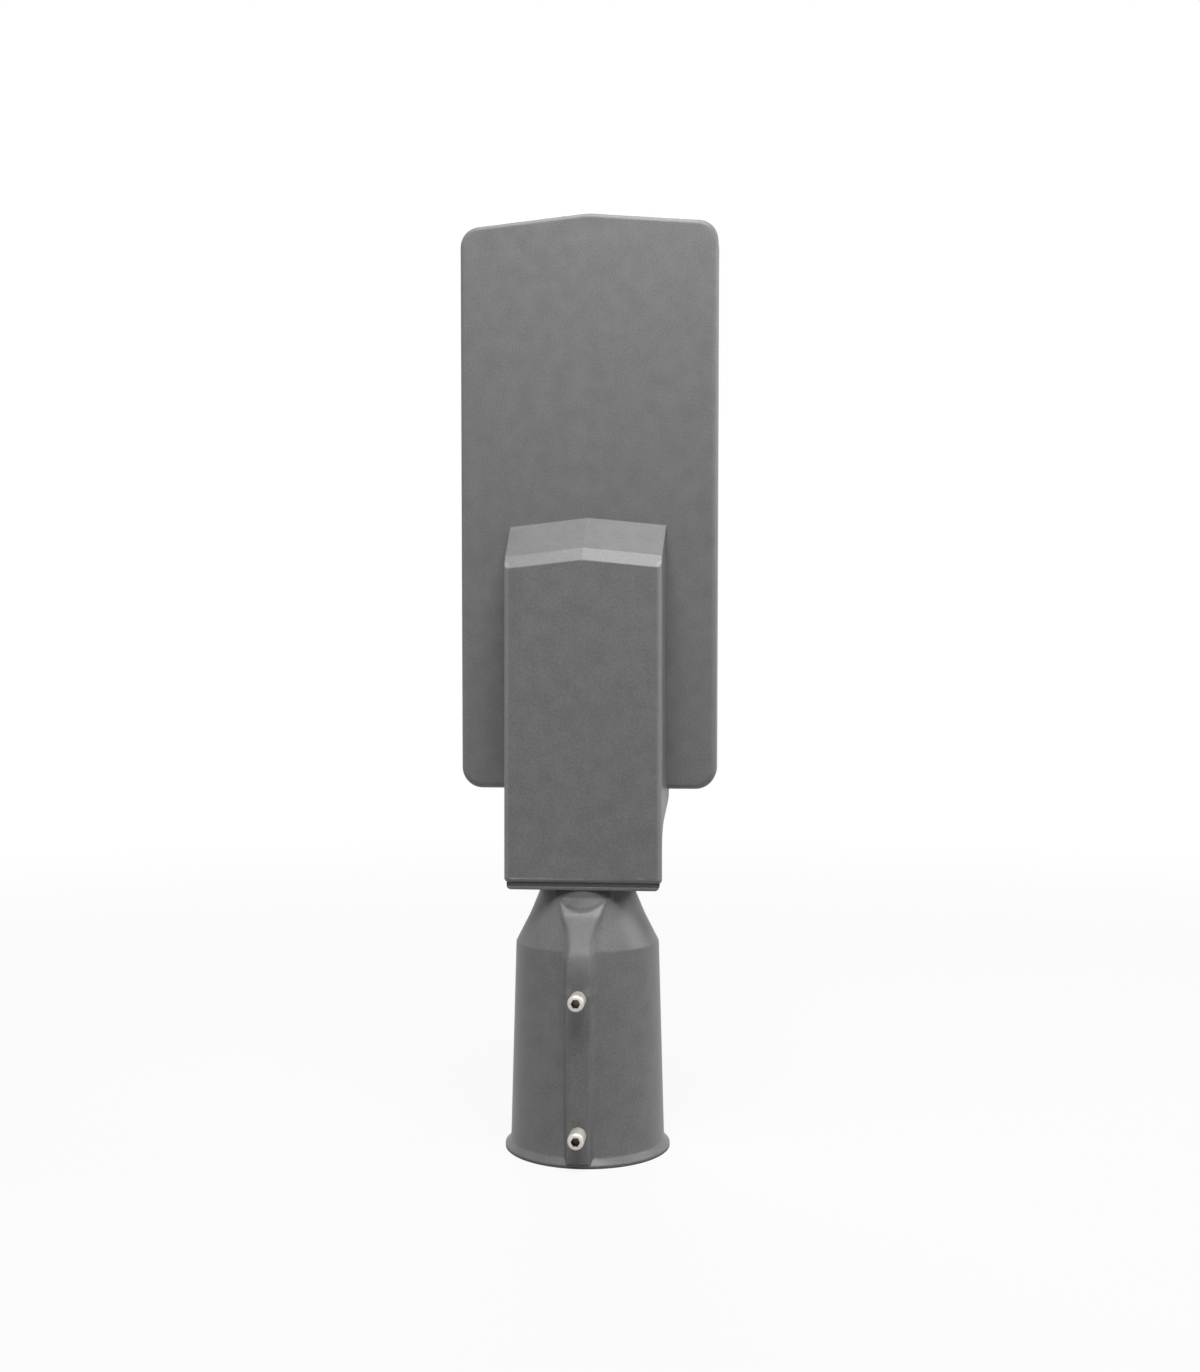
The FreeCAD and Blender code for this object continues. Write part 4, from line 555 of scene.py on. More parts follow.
@dataclass(frozen=True)
class SolderMask:
    """White board coat with the low relief of copper runs under it."""

    name: str
    pitch: float = 12.2 * MM
    link_pitch: float = 19.032 * MM
    bare: Colour = (0.80, 0.80, 0.78)
    over_copper: Colour = (0.66, 0.68, 0.64)
    speck: float = 0.6 * MM
    speck_share: float = 0.2
    run_edge: tuple[float, float] = (0.86, 0.93)
    link_edge: tuple[float, float] = (0.90, 0.95)
    relief: float = 0.035 * MM
    relief_strength: float = 0.8
    smoothest: float = 0.34
    roughness_swing: float = 0.10

    def material(self) -> Material:
        """Builds the finish.

        Returns:
            The material.
        """
        graph = graph_of(self.name)
        x, _, z = graph.axes()
        runs = x.wave(self.pitch).size().between(*self.run_edge)
        links = z.wave(self.link_pitch).size().between(*self.link_edge)
        copper = runs.highest(links)
        speck = graph.noise(self.speck)
        share = copper * (1.0 - self.speck_share) + speck * self.speck_share
        return graph.surface({
            "Base Color": graph.cover(share, self.bare, self.over_copper),
            "Roughness": speck.spread() * self.roughness_swing + self.smoothest,
            "Normal": graph.bump(copper, self.relief, self.relief_strength),
        })


@dataclass(frozen=True)
class Phosphor:
    """Silicone with yellow phosphor over an LED."""

    name: str
    colour: Colour = (0.78, 0.56, 0.06)
    darkest: float = 0.82
    grain: float = 0.25 * MM
    relief: float = 0.02 * MM
    relief_strength: float = 0.6
    smoothest: float = 0.28
    roughness_swing: float = 0.15
    glow: float = 0.25
    glow_reach: Scales = (0.4 * MM, 0.25 * MM, 0.05 * MM)

    def material(self) -> Material:
        """Builds the finish.

        Returns:
            The material.
        """
        graph = graph_of(self.name)
        grain = graph.noise(self.grain, detail=3.0)
        return graph.surface({
            "Base Color": graph.cover(grain.spread(), shade(self.colour, self.darkest), self.colour),
            "Roughness": grain * self.roughness_swing + self.smoothest,
            "Subsurface Weight": self.glow,
            "Subsurface Radius": self.glow_reach,
            "Subsurface Scale": 1.0,
            "Normal": graph.bump(grain, self.relief, self.relief_strength),
        })


class Finish(Enum):
    """Every finish of the part, under the record's slot of the same purpose."""

    COAT = "coated_casting"
    PLATED = "clamp_steel"
    SOCKET = "clamp_steel_recess"
    STEEL = "screw_steel"
    RUBBER = "dark_rubber"
    LENS = "clear_lens"
    BOARD = "white_board"
    PHOSPHOR = "led_yellow"
    PAD = "pad_grey"
    WHITE = "white_plastic"
    BLACK = "black_plastic"
    DRIVER = "driver_metal"
    RED = "lead_red"
    DARK = "lead_black"
    BROWN = "lead_brown"
    BLUE = "lead_blue"


CLAMP_HEIGHTS = (15.8 * MM, 80.3 * MM)
ALL_ROUND = 60.0 * MM  # front past the light side, for a mark that goes all the way round
# Painted highlights along the rounded side edges of the hood and the panel.
HOOD_EDGE_HIGHLIGHTS = PaintedEdgeHighlight(foot=134.0 * MM, top=290.0 * MM, half_foot=38.5 * MM, half_top=38.5 * MM,
                      width=2.8 * MM, front=-22.0 * MM, share=0.42)
PANEL_EDGE_HIGHLIGHTS = PaintedEdgeHighlight(foot=180.0 * MM, top=456.0 * MM, half_foot=64.2 * MM, half_top=65.2 * MM,
                       width=3.4 * MM, front=2.4 * MM, share=0.18)
HOOD_SCRATCH = Scratch(x=28.2 * MM, z=135.8 * MM, half_length=1.9 * MM, half_width=0.42 * MM)
# Painted shade in the groove under the hood's foot.
GROOVE_SHADE = PaintedShadeBand(low=131.3 * MM, high=132.8 * MM, fade_down=0.1 * MM, fade_up=0.3 * MM, share=0.25)
# Painted shade on the ledge's face, under the hood's overhang.
LEDGE_SHADE = PaintedShadeBand(low=129.8 * MM, high=131.0 * MM, fade_down=0.1 * MM, fade_up=0.2 * MM, share=0.20)
# Painted shadow on the neck's top, under the ledge.
NECK_SHADOW = PaintedShadeBand(low=126.8 * MM, high=129.6 * MM, fade_down=1.6 * MM, fade_up=0.1 * MM, share=0.62,
                       reach=14.0 * MM)
# Painted shade along the arc where the rib's flare meets the cone.
FLARE_SHADE = PaintedShadeBand(low=119.6 * MM, high=120.6 * MM, fade_down=1.0 * MM, fade_up=1.4 * MM, share=0.40,
                        bend=40.0, reach=12.0 * MM)
# Painted contact shadow all round the mouth's lower rim.
LIP_SHADOW = PaintedShadeBand(low=-0.5 * MM, high=0.5 * MM, fade_down=0.2 * MM, fade_up=0.9 * MM, share=0.65,
                      front=ALL_ROUND)
MARKS = (HOOD_EDGE_HIGHLIGHTS, PANEL_EDGE_HIGHLIGHTS, *(ScrewHalo(height=height) for height in CLAMP_HEIGHTS), HOOD_SCRATCH,
         GROOVE_SHADE, LEDGE_SHADE, NECK_SHADOW, FLARE_SHADE, LIP_SHADOW)
RECIPES = {
    Finish.COAT: PowderCoat("grey_powder_coat", MARKS),
    Finish.PLATED: Metal("satin_plating", (0.75, 0.72, 0.655), metallic=0.5, roughness=0.40),
    # Dark oily steel in the hex sockets, darkened further as painted shade of the recess.
    Finish.SOCKET: Metal("oiled_and_shaded_recess", (0.20, 0.155, 0.115), metallic=0.6, roughness=0.45),
    Finish.STEEL: Metal("stainless_steel", (0.60, 0.60, 0.61), roughness=0.32),
    Finish.RUBBER: Plastic("dark_rubber", (0.028, 0.028, 0.029), roughness=0.62, sheen=0.08),
    Finish.LENS: ClearPlastic("clear_cover"),
    Finish.BOARD: SolderMask("white_solder_mask"),
    Finish.PHOSPHOR: Phosphor("yellow_phosphor"),
    Finish.PAD: Plastic("grey_silicone_pad", (0.20, 0.22, 0.25), roughness=0.70, grain=0.8 * MM),
    Finish.WHITE: Plastic("white_moulding", (0.68, 0.68, 0.65)),
    Finish.BLACK: Plastic("black_moulding", (0.020, 0.020, 0.022), roughness=0.46),
    Finish.DRIVER: Metal("satin_aluminium", (0.56, 0.57, 0.58), roughness=0.40, grain=0.5 * MM,
                         stretch=(1.0, 1.0, 0.04), relief=0.02 * MM),
    Finish.RED: Plastic("red_sleeve", (0.42, 0.018, 0.014), roughness=0.38),
    Finish.DARK: Plastic("black_sleeve", (0.018, 0.018, 0.019), roughness=0.38),
    Finish.BROWN: Plastic("brown_sleeve", (0.11, 0.045, 0.018), roughness=0.38),
    Finish.BLUE: Plastic("blue_sleeve", (0.016, 0.055, 0.30), roughness=0.38),
}


class Paint:
    """The part's finishes, each built once."""

    def __init__(self) -> None:
        """Starts with none built."""
        self.built: dict[Finish, Material] = {}

    def of(self, finish: Finish) -> Material:
        """Material of a finish.

        Args:
            finish: the finish.

        Returns:
            Its material, which is built when it is first asked for.
        """
        if finish not in self.built:
            self.built[finish] = RECIPES[finish].material()
        return self.built[finish]

    def dress(self, piece: Piece, finish: Finish) -> None:
        """Gives a whole piece one finish."""
        piece.data.materials.clear()
        piece.data.materials.append(self.of(finish))


# Modelling steps

RIM_REACH = 0.01 * MM  # how near to a height an edge counts as lying there
LEVEL = 0.5  # largest rise of a run or a normal that counts as level
FACING = 0.9  # smallest rise of a run or a normal that counts as upright
FLAT = 0.99  # smallest rise of the normal of a level face
MERGE = 0.001 * MM  # corners nearer than this are one
OVERLAP = 0.02 * MM  # how far joined solids run into each other
PAST = 1.5  # how many times as far as the piece's face a cutting tool reaches
THREAD_STEPS = 20
HEXAGON = 6
BOX_LOW, BOX_HIGH = 0, 6  # opposite corners of a bounding box
SORT_DIGITS = 4


class Pick(Enum):
    """What a selection is made of."""

    VERTICES = (True, False, False)
    EDGES = (False, True, False)
    FACES = (False, False, True)


class Turn(Enum):
    """Where a piece modelled along +Z points when it is in place."""

    SKY = math.pi / 2
    LIGHT = -math.pi / 2


def object_mode() -> None:
    """Leaves edit mode."""
    if bpy.context.mode != "OBJECT":
        bpy.ops.object.mode_set(mode="OBJECT")


def deselect() -> None:
    """Leaves edit mode with no object selected."""
    object_mode()
    bpy.ops.object.select_all(action="DESELECT")


def only(piece: Piece) -> None:
    """Makes one object the only selected and the active one.

    Args:
        piece: the object.
    """
    deselect()
    piece.select_set(True)
    bpy.context.view_layer.objects.active = piece


def edit_all(piece: Piece) -> None:
    """Opens one object in edit mode with its whole mesh selected.

    Args:
        piece: the object.
    """
    only(piece)
    bpy.ops.object.mode_set(mode="EDIT")
    bpy.ops.mesh.select_all(action="SELECT")


def pick(piece: Piece, kind: Pick, test: Test) -> int:
    """Selects part of a mesh by its place and leaves it in edit mode.

    Args:
        piece: the object.
        kind: vertices, edges or faces.
        test: takes a centre and a direction, which is a face's normal or an edge's run.

    Returns:
        How many were selected.
    """
    only(piece)
    mesh = piece.data
    for group in (mesh.vertices, mesh.edges, mesh.polygons):
        group.foreach_set("select", [False] * len(group))
    count = 0
    points = mesh.vertices
    if kind is Pick.FACES:
        for face in mesh.polygons:
            face.select = test(face.center, face.normal)
            count += face.select
    elif kind is Pick.EDGES:
        for edge in mesh.edges:
            first, second = (points[index].co for index in edge.vertices)
            edge.select = test((first + second) / 2, (second - first).normalized())
            count += edge.select
    else:
        for point in points:
            point.select = test(point.co, Vector())
            count += point.select
    bpy.context.tool_settings.mesh_select_mode = kind.value
    bpy.ops.object.mode_set(mode="EDIT")
    return count


def rim_at(height: float) -> Test:
    """Test for the level edges at a height, such as the rim of a column's end."""
    return lambda point, run: abs(point.z - height) < RIM_REACH and abs(run.z) < LEVEL


def flatten(piece: Piece) -> Piece:
    """Moves an object's place, turn and scale into its mesh.

    Args:
        piece: the object.

    Returns:
        The same object.
    """
    only(piece)
    bpy.ops.object.transform_apply(location=True, rotation=True, scale=True)
    return piece


def fresh(name: str) -> Piece:
    """Names the primitive that was added last and moves its place into its mesh."""
    bpy.context.active_object.name = name
    return flatten(bpy.context.active_object)


def column(name: str, radius: float, low: float, high: float, sides: int = 36, turn: float = 0.0) -> Piece:
    """Upright cylinder or prism to start a piece from.

    Args:
        name: object name.
        radius: distance from the axis to its corners.
        low: height of its lower end.
        high: height of its upper end.
        sides: number of sides.
        turn: turn about its axis in radians.

    Returns:
        The object, selected and active.
    """
    deselect()
    bpy.ops.mesh.primitive_cylinder_add(vertices=sides, radius=radius, depth=high - low,
                                        location=(0, 0, (low + high) / 2), rotation=(0, 0, turn))
    return fresh(name)


def brick(name: str, low: Vector, high: Vector) -> Piece:
    """Block between two corners to start a piece from.

    Args:
        name: object name.
        low: its lowest corner.
        high: its highest corner.

    Returns:
        The object, selected and active.
    """
    deselect()
    bpy.ops.mesh.primitive_cube_add(size=1.0, location=(low + high) / 2, scale=high - low)
    return fresh(name)


def soften(piece: Piece, test: Test, width: float, steps: int = 3) -> None:
    """Rounds edges of a mesh.

    Args:
        piece: the object.
        test: says which edges, as in pick.
        width: width of the rounding.
        steps: how many strips it has.
    """
    if pick(piece, Pick.EDGES, test):
        bpy.ops.mesh.bevel(offset=width, segments=steps, profile=0.5, affect="EDGES")
    object_mode()


def carve(piece: Piece, tool: Piece) -> None:
    """Cuts one object out of another and removes the tool.

    Args:
        piece: the object that is cut.
        tool: the shape that is taken away.
    """
    only(piece)
    cut = piece.modifiers.new("cut", "BOOLEAN")
    cut.operation = "DIFFERENCE"
    cut.solver = "EXACT"
    cut.object = tool
    bpy.ops.object.modifier_apply(modifier=cut.name)
    bpy.data.objects.remove(tool)


def join(pieces: list[Piece], name: str) -> Piece:
    """Joins objects into the first of them.

    Args:
        pieces: the objects.
        name: name of the joined object.

    Returns:
        The joined object.
    """
    only(pieces[0])
    for piece in pieces:
        piece.select_set(True)
    bpy.ops.object.join()
    pieces[0].name = name
    return pieces[0]


def coil(name: str, radius: float, low: float, high: float, pitch: float, depth: float) -> Piece:
    """Thread ridge that winds up a shank.

    Args:
        name: object name.
        radius: crest radius.
        low: height where it starts.
        high: height where it ends.
        pitch: rise of one turn.
        depth: height of the ridge.

    Returns:
        The ridge as a closed mesh.
    """
    deselect()
    bpy.ops.mesh.primitive_circle_add(vertices=3, radius=depth, fill_type="NOTHING",
                                      location=(radius - depth, 0, low), rotation=(math.pi / 2, 0, 0))
    piece = fresh(name)
    turns = max(1, round((high - low) / pitch))
    wind = piece.modifiers.new("wind", "SCREW")
    wind.axis = "Z"
    wind.angle = 2 * math.pi
    wind.iterations = turns
    wind.screw_offset = (high - low) / turns
    wind.steps = THREAD_STEPS
    wind.render_steps = THREAD_STEPS
    only(piece)
    bpy.ops.object.modifier_apply(modifier=wind.name)
    bpy.ops.object.mode_set(mode="EDIT")
    bpy.ops.mesh.select_all(action="DESELECT")
    bpy.context.tool_settings.mesh_select_mode = Pick.EDGES.value
    bpy.ops.mesh.select_non_manifold()
    bpy.ops.mesh.edge_face_add()
    bpy.ops.mesh.select_all(action="SELECT")
    bpy.ops.mesh.normals_make_consistent(inside=False)
    object_mode()
    return piece


def smooth(piece: Piece, degrees: float = 35.0) -> None:
    """Smooth shading, with sharp edges above an angle."""
    only(piece)
    bpy.ops.object.shade_smooth_by_angle(angle=math.radians(degrees))


def put(template: Piece, name: str, place: Vector, turn: Turn) -> Piece:
    """Copy of a template with its own mesh, turned and moved into place.

    Args:
        template: piece modelled along +Z from its seat at the origin.
        name: name of the copy.
        place: where its seat goes.
        turn: where its +Z points.

    Returns:
        The copy.
    """
    piece = template.copy()
    piece.data = template.data.copy()
    piece.name = name
    bpy.context.scene.collection.objects.link(piece)
    piece.data.transform(Matrix.Translation(place) @ Matrix.Rotation(turn.value, 4, "X"))
    return piece


def merged_copy(node: Piece, name: str) -> Piece:
    """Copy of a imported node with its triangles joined.

    Args:
        node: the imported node.
        name: name of the copy.

    Returns:
        The copy, which stands on its own.
    """
    piece = node.copy()
    piece.data = node.data.copy()
    piece.parent = None
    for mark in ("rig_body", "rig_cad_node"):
        del piece[mark]
    piece.name = name
    bpy.context.scene.collection.objects.link(piece)
    only(piece)
    bpy.ops.mesh.customdata_custom_splitnormals_clear()
    edit_all(piece)
    bpy.ops.mesh.remove_doubles(threshold=MERGE)
    object_mode()
    return piece


def solids_of(node: Piece) -> list[Box]:
    """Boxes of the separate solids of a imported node.

    Args:
        node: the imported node.

    Returns:
        Lowest and highest corner of each, from low to high and from left to right.
    """
    edit_all(merged_copy(node, "sample"))
    bpy.ops.mesh.separate(type="LOOSE")
    object_mode()
    boxes = []
    for part in list(bpy.context.selected_objects):
        corners = [Vector(corner) for corner in part.bound_box]
        boxes.append((corners[BOX_LOW], corners[BOX_HIGH]))
        mesh = part.data
        bpy.data.objects.remove(part)
        bpy.data.meshes.remove(mesh)
    return sorted(boxes, key=lambda box: (round(box[0].z, SORT_DIGITS), round(box[0].x, SORT_DIGITS)))


# Sub-assemblies


class Head(Enum):
    """Form of a screw's head: the share of its height that is rounded, and in how many strips."""

    CAP = (0.09, 2)
    PAN = (0.55, 4)
    COUNTERSUNK = (0.0, 0)


class Drive(Enum):
    """Recess of a screw's head."""

    HEX = "hex"
    SLOT = "slot"


@dataclass(frozen=True)
class Screw:
    """Machine screw with its seat at the origin and its head along +Z."""

    head: Head
    drive: Drive
    radius: float
    length: float
    head_radius: float
    head_height: float
    pitch: float = 0.7 * MM
    sides: int = 36
    core_share: float = 0.90
    tip_share: float = 0.25
    ridge_share: float = 0.42
    hex_share: float = 0.55
    hex_floor: float = 0.45
    slot_share: float = 0.25
    slot_floor: float = 0.5

    def model(self, name: str) -> Piece:
        """Models the head with its recess, the shank and its thread.

        Args:
            name: object name.

        Returns:
            The screw.
        """
        top = self.head_height
        head = column(name, self.head_radius, 0.0, top, self.sides)
        if self.head is Head.COUNTERSUNK:
            pick(head, Pick.VERTICES, lambda point, _: point.z < top / 2)
            share = self.radius / self.head_radius
            bpy.ops.transform.resize(value=(share, share, 1.0))
            object_mode()
        else:
            rounding, strips = self.head.value
            soften(head, rim_at(top), top * rounding, strips)
        carve(head, self.recess())
        shank = column(name + "_shank", self.radius * self.core_share, -self.length, OVERLAP, self.sides)
        soften(shank, rim_at(-self.length), self.radius * self.tip_share, steps=2)
        ridge = coil(name + "_thread", self.radius, self.pitch - self.length, -self.pitch, self.pitch,
                     self.pitch * self.ridge_share)
        screw = join([head, shank, ridge], name)
        smooth(screw)
        return screw

    def recess(self) -> Piece:
        """Tool shape of the drive, which reaches past the head's top.

        Returns:
            The tool.
        """
        top = self.head_height
        if self.drive is Drive.HEX:
            return column("recess", self.head_radius * self.hex_share, top * self.hex_floor,
                          top * PAST, HEXAGON)
        width, reach = self.radius * self.slot_share, self.head_radius * PAST
        low = Vector((-reach, -width, top * self.slot_floor))
        return brick("recess", low, Vector((reach, width, top * PAST)))


@dataclass
class Workshop:
    """What every sub-assembly needs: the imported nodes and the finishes."""

    nodes: dict[str, Piece]
    paint: Paint

    def keep(self, finish: Finish, *names: str) -> None:
        """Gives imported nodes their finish.

        Args:
            finish: the finish.
            names: the nodes.
        """
        for name in names:
            self.paint.dress(self.nodes[name], finish)
            LOG.info("kept %s with %s", name, finish.value)

    def hand_in(self, piece: Piece, finish: Finish, *stands_for: str) -> None:
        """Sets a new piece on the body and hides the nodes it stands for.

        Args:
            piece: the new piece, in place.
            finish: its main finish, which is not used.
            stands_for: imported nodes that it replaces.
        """
        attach(piece, BODY)
        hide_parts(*stands_for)
        LOG.info("made %s for %s", piece.name, ", ".join(stands_for))

    def fasten(self, node: str, screw: Screw) -> None:
        """Puts a detailed steel screw at each solid of a node, heads on the light side.

        Args:
            node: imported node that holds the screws.
            screw: the screw to model.
        """
        template = screw.model(node + "_template")
        self.paint.dress(template, Finish.STEEL)
        for index, (low, high) in enumerate(solids_of(self.nodes[node]), start=1):
            seat = Vector(((low.x + high.x) / 2, high.y - screw.head_height, (low.z + high.z) / 2))
            self.hand_in(put(template, f"{node}_{index:02d}", seat, Turn.LIGHT), Finish.STEEL, node)
        bpy.data.objects.remove(template)


@dataclass
class SubAssembly:
    """A group of pieces that belong together, and the workshop that makes them."""

    shop: Workshop

    def build(self) -> None:
        """Dresses and models the pieces."""
        raise NotImplementedError


@dataclass
class Castings(SubAssembly):
    """Housing, arm casting and gear lid with the gaskets and the seam under the hood."""

    ledge_height: float = 3.4 * MM
    ledge_reach: float = 3.2 * MM
    seam_gap: float = 1.9 * MM
    seam_depth: float = 0.9 * MM
    seam_start: float = 0.1 * MM
    tray_front: float = -21.0 * MM
    front_depth: float = 4.0 * MM
    tray_height: float = 60.0 * MM
    margin: float = 1.0 * MM
    facing: float = -0.6

    def build(self) -> None:
        """Dresses the castings and their gaskets."""
        self.shop.keep(Finish.COAT, "housing", "gear_lid")
        self.arm()
        self.shop.keep(Finish.RUBBER, "seam_gasket", "gear_lid_gasket", "lens_gasket", "breather_seal")

    def arm(self) -> None:
        """Brings the tray's foot forward in two steps: a groove under the hood, then a ledge below it."""
        casting = merged_copy(self.shop.nodes["arm_casting"], "arm_casting_with_ledge")
        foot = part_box("housing")[0].z
        low, high, face = foot - self.ledge_height, foot + self.tray_height, self.tray_front
        for top, reach in ((foot - self.seam_start, self.ledge_reach - self.seam_depth),
                           (foot - self.seam_gap, self.seam_depth)):
            pick(casting, Pick.FACES, lambda centre, normal: low - self.margin < centre.z < high)
            bpy.ops.mesh.bisect(plane_co=(0, 0, top), plane_no=(0, 0, 1))
            object_mode()
            count = pick(casting, Pick.FACES, lambda centre, normal: normal.y < self.facing
                         and low < centre.z < top and face < centre.y < face + self.front_depth)
            LOG.info("moved %d faces of the tray's front", count)
            bpy.ops.mesh.extrude_region_move(TRANSFORM_OT_translate={"value": (0, -reach, 0)})
            object_mode()
            face -= reach
        smooth(casting)
        self.shop.paint.dress(casting, Finish.COAT)
        self.shop.hand_in(casting, Finish.COAT, "arm_casting")


@dataclass
class ClampScrews(SubAssembly):
    """Plated set screws in the rib, each with a hexagon socket in its rounded end."""

    across_flats: float = 4.0 * MM
    socket_depth: float = 4.5 * MM
    socket_reach: float = 2.4 * MM
    end_skin: float = 0.04 * MM
    end_round: float = 1.7 * MM
    end_strips: int = 6
    tip_round: float = 0.8 * MM
    tip_strips: int = 2
    collar: float = 10.5 * MM
    pitch: float = 1.25 * MM
    ridge: float = 0.625 * MM
    core_depth: float = 0.42 * MM
    sides: int = 48

    def build(self) -> None:
        """Models one screw and sets a copy at both places."""
        low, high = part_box("clamp_screw_upper")
        template = self.model((high.x - low.x) / 2, high.y - low.y)
        self.dress(template, high.y - low.y)
        for node in ("clamp_screw_lower", "clamp_screw_upper"):
            low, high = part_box(node)
            tip = Vector((0.0, high.y, (low.z + high.z) / 2))
            self.shop.hand_in(put(template, node + "_plated", tip, Turn.SKY), Finish.PLATED, node)
        bpy.data.objects.remove(template)

    def model(self, radius: float, length: float) -> Piece:
        """Models the screw from its tip at the origin.

        Args:
            radius: outer radius of the thread.
            length: length from tip to end.

        Returns:
            The screw.
        """
        shoulder = length - self.collar
        screw = column("set_screw", radius, shoulder, length, self.sides)
        soften(screw, rim_at(length), self.end_round, self.end_strips)
        corner, floor = self.across_flats / math.sqrt(3), length - self.socket_depth
        carve(screw, column("socket", corner, floor, length * PAST, HEXAGON, turn=math.pi / 2))
        core = column("core", radius - self.core_depth, 0.0, shoulder, self.sides)
        soften(core, rim_at(0.0), self.tip_round, self.tip_strips)
        thread = coil("thread", radius, self.pitch, shoulder, self.pitch, self.ridge)
        screw = join([screw, core, thread], "set_screw")
        smooth(screw, degrees=40.0)
        return screw

    def dress(self, screw: Piece, length: float) -> None:
        """Plates the screw and paints the inside of its socket dark: oily steel and painted shade of the
        recess.

        Args:
            screw: the screw, along +Z from its tip at the origin.
            length: its length.
        """
        self.shop.paint.dress(screw, Finish.PLATED)
        screw.data.materials.append(self.shop.paint.of(Finish.SOCKET))
        for face in screw.data.polygons:
            below_end = length - self.collar < face.center.z < length - self.end_skin
            inside = below_end and face.center.to_2d().length < self.socket_reach
            face.material_index = 1 if inside else 0


@dataclass
class LightEngine(SubAssembly):
    """Lens cover, board and LEDs on the light side."""

    chip_rim: float = 0.55 * MM
    chip_sink: float = 0.18 * MM
    chip_edge: float = 0.3 * MM
    lens_screw: Screw = Screw(Head.PAN, Drive.SLOT, radius=1.5 * MM, length=9.0 * MM,
                              head_radius=3.0 * MM, head_height=2.0 * MM, pitch=0.5 * MM)
    board_screw: Screw = Screw(Head.PAN, Drive.SLOT, radius=1.5 * MM, length=6.0 * MM,
                               head_radius=3.0 * MM, head_height=1.2 * MM, pitch=0.5 * MM)

    def build(self) -> None:
        """Dresses the cover and board and models the LEDs and screws."""
        self.shop.keep(Finish.LENS, "lens_plate")
        self.shop.keep(Finish.BOARD, "led_board")
        self.shop.keep(Finish.PAD, "thermal_pad")
        self.shop.keep(Finish.WHITE, "led_connector")
        self.chips()
        self.shop.fasten("lens_screws", self.lens_screw)
        self.shop.fasten("led_board_screws", self.board_screw)

    def chips(self) -> None:
        """Models one LED with its phosphor sunk in a rim and copies it to each place."""
        boxes = solids_of(self.shop.nodes["led_chips"])
        low, high = boxes[0]
        half = (high.x - low.x) / 2
        chip = brick("led", Vector((-half, -half, 0)), Vector((half, half, high.y - low.y)))
        soften(chip, lambda point, run: abs(run.z) > FACING, self.chip_edge, steps=2)
        pick(chip, Pick.FACES, lambda centre, normal: normal.z > FACING)
        bpy.ops.mesh.inset(thickness=self.chip_rim)
        bpy.ops.mesh.extrude_region_move(TRANSFORM_OT_translate={"value": (0, 0, -self.chip_sink)})
        object_mode()
        chip.data.materials.append(self.shop.paint.of(Finish.WHITE))
        chip.data.materials.append(self.shop.paint.of(Finish.PHOSPHOR))
        for face in chip.data.polygons:
            sunk = face.center.to_2d().length < self.chip_rim and face.normal.z > FACING
            face.material_index = 1 if sunk else 0
        for index, (low, high) in enumerate(boxes, start=1):
            seat = Vector(((low.x + high.x) / 2, low.y, (low.z + high.z) / 2))
            self.shop.hand_in(put(chip, f"led_{index:02d}", seat, Turn.LIGHT), Finish.PHOSPHOR, "led_chips")
        bpy.data.objects.remove(chip)


@dataclass
class GearBay(SubAssembly):
    """Driver, terminal block, surge protector, leads and their screws behind the lid."""

    lid_screw: Screw = Screw(Head.COUNTERSUNK, Drive.HEX, radius=2.0 * MM, length=8.0 * MM,
                             head_radius=4.0 * MM, head_height=2.0 * MM)
    arm_bolt: Screw = Screw(Head.CAP, Drive.HEX, radius=2.5 * MM, length=31.0 * MM,
                            head_radius=4.25 * MM, head_height=5.0 * MM, pitch=0.8 * MM)

    def build(self) -> None:
        """Dresses the units in the bay and models the screws that show."""
        self.shop.keep(Finish.DRIVER, "driver_case")
        self.shop.keep(Finish.BLACK, "driver_lower_cap", "driver_upper_cap", "surge_protector")
        self.shop.keep(Finish.WHITE, "terminal_block")
        self.shop.keep(Finish.STEEL, "terminal_clamp_screws", "terminal_block_screws", "earth_screw")
        self.shop.keep(Finish.STEEL, "surge_protector_screw", "driver_screws", "arm_bolt_washers")
        self.shop.keep(Finish.RUBBER, "wire_grommet")
        self.shop.keep(Finish.RED, "led_lead_plus")
        self.shop.keep(Finish.DARK, "led_lead_minus")
        self.shop.keep(Finish.BROWN, "supply_lead_live", "surge_lead_live")
        self.shop.keep(Finish.BLUE, "supply_lead_neutral", "surge_lead_neutral")
        self.shop.fasten("gear_lid_screws", self.lid_screw)
        self.shop.fasten("arm_bolts", self.arm_bolt)


@dataclass
class CableEntry(SubAssembly):
    """Cable gland in the end wall, seen through the socket's bore."""

    def build(self) -> None:
        """Dresses the gland."""
        self.shop.keep(Finish.BLACK, "gland_body", "gland_dome_nut", "gland_lock_nut")
        self.shop.keep(Finish.RUBBER, "gland_washer", "gland_seal")


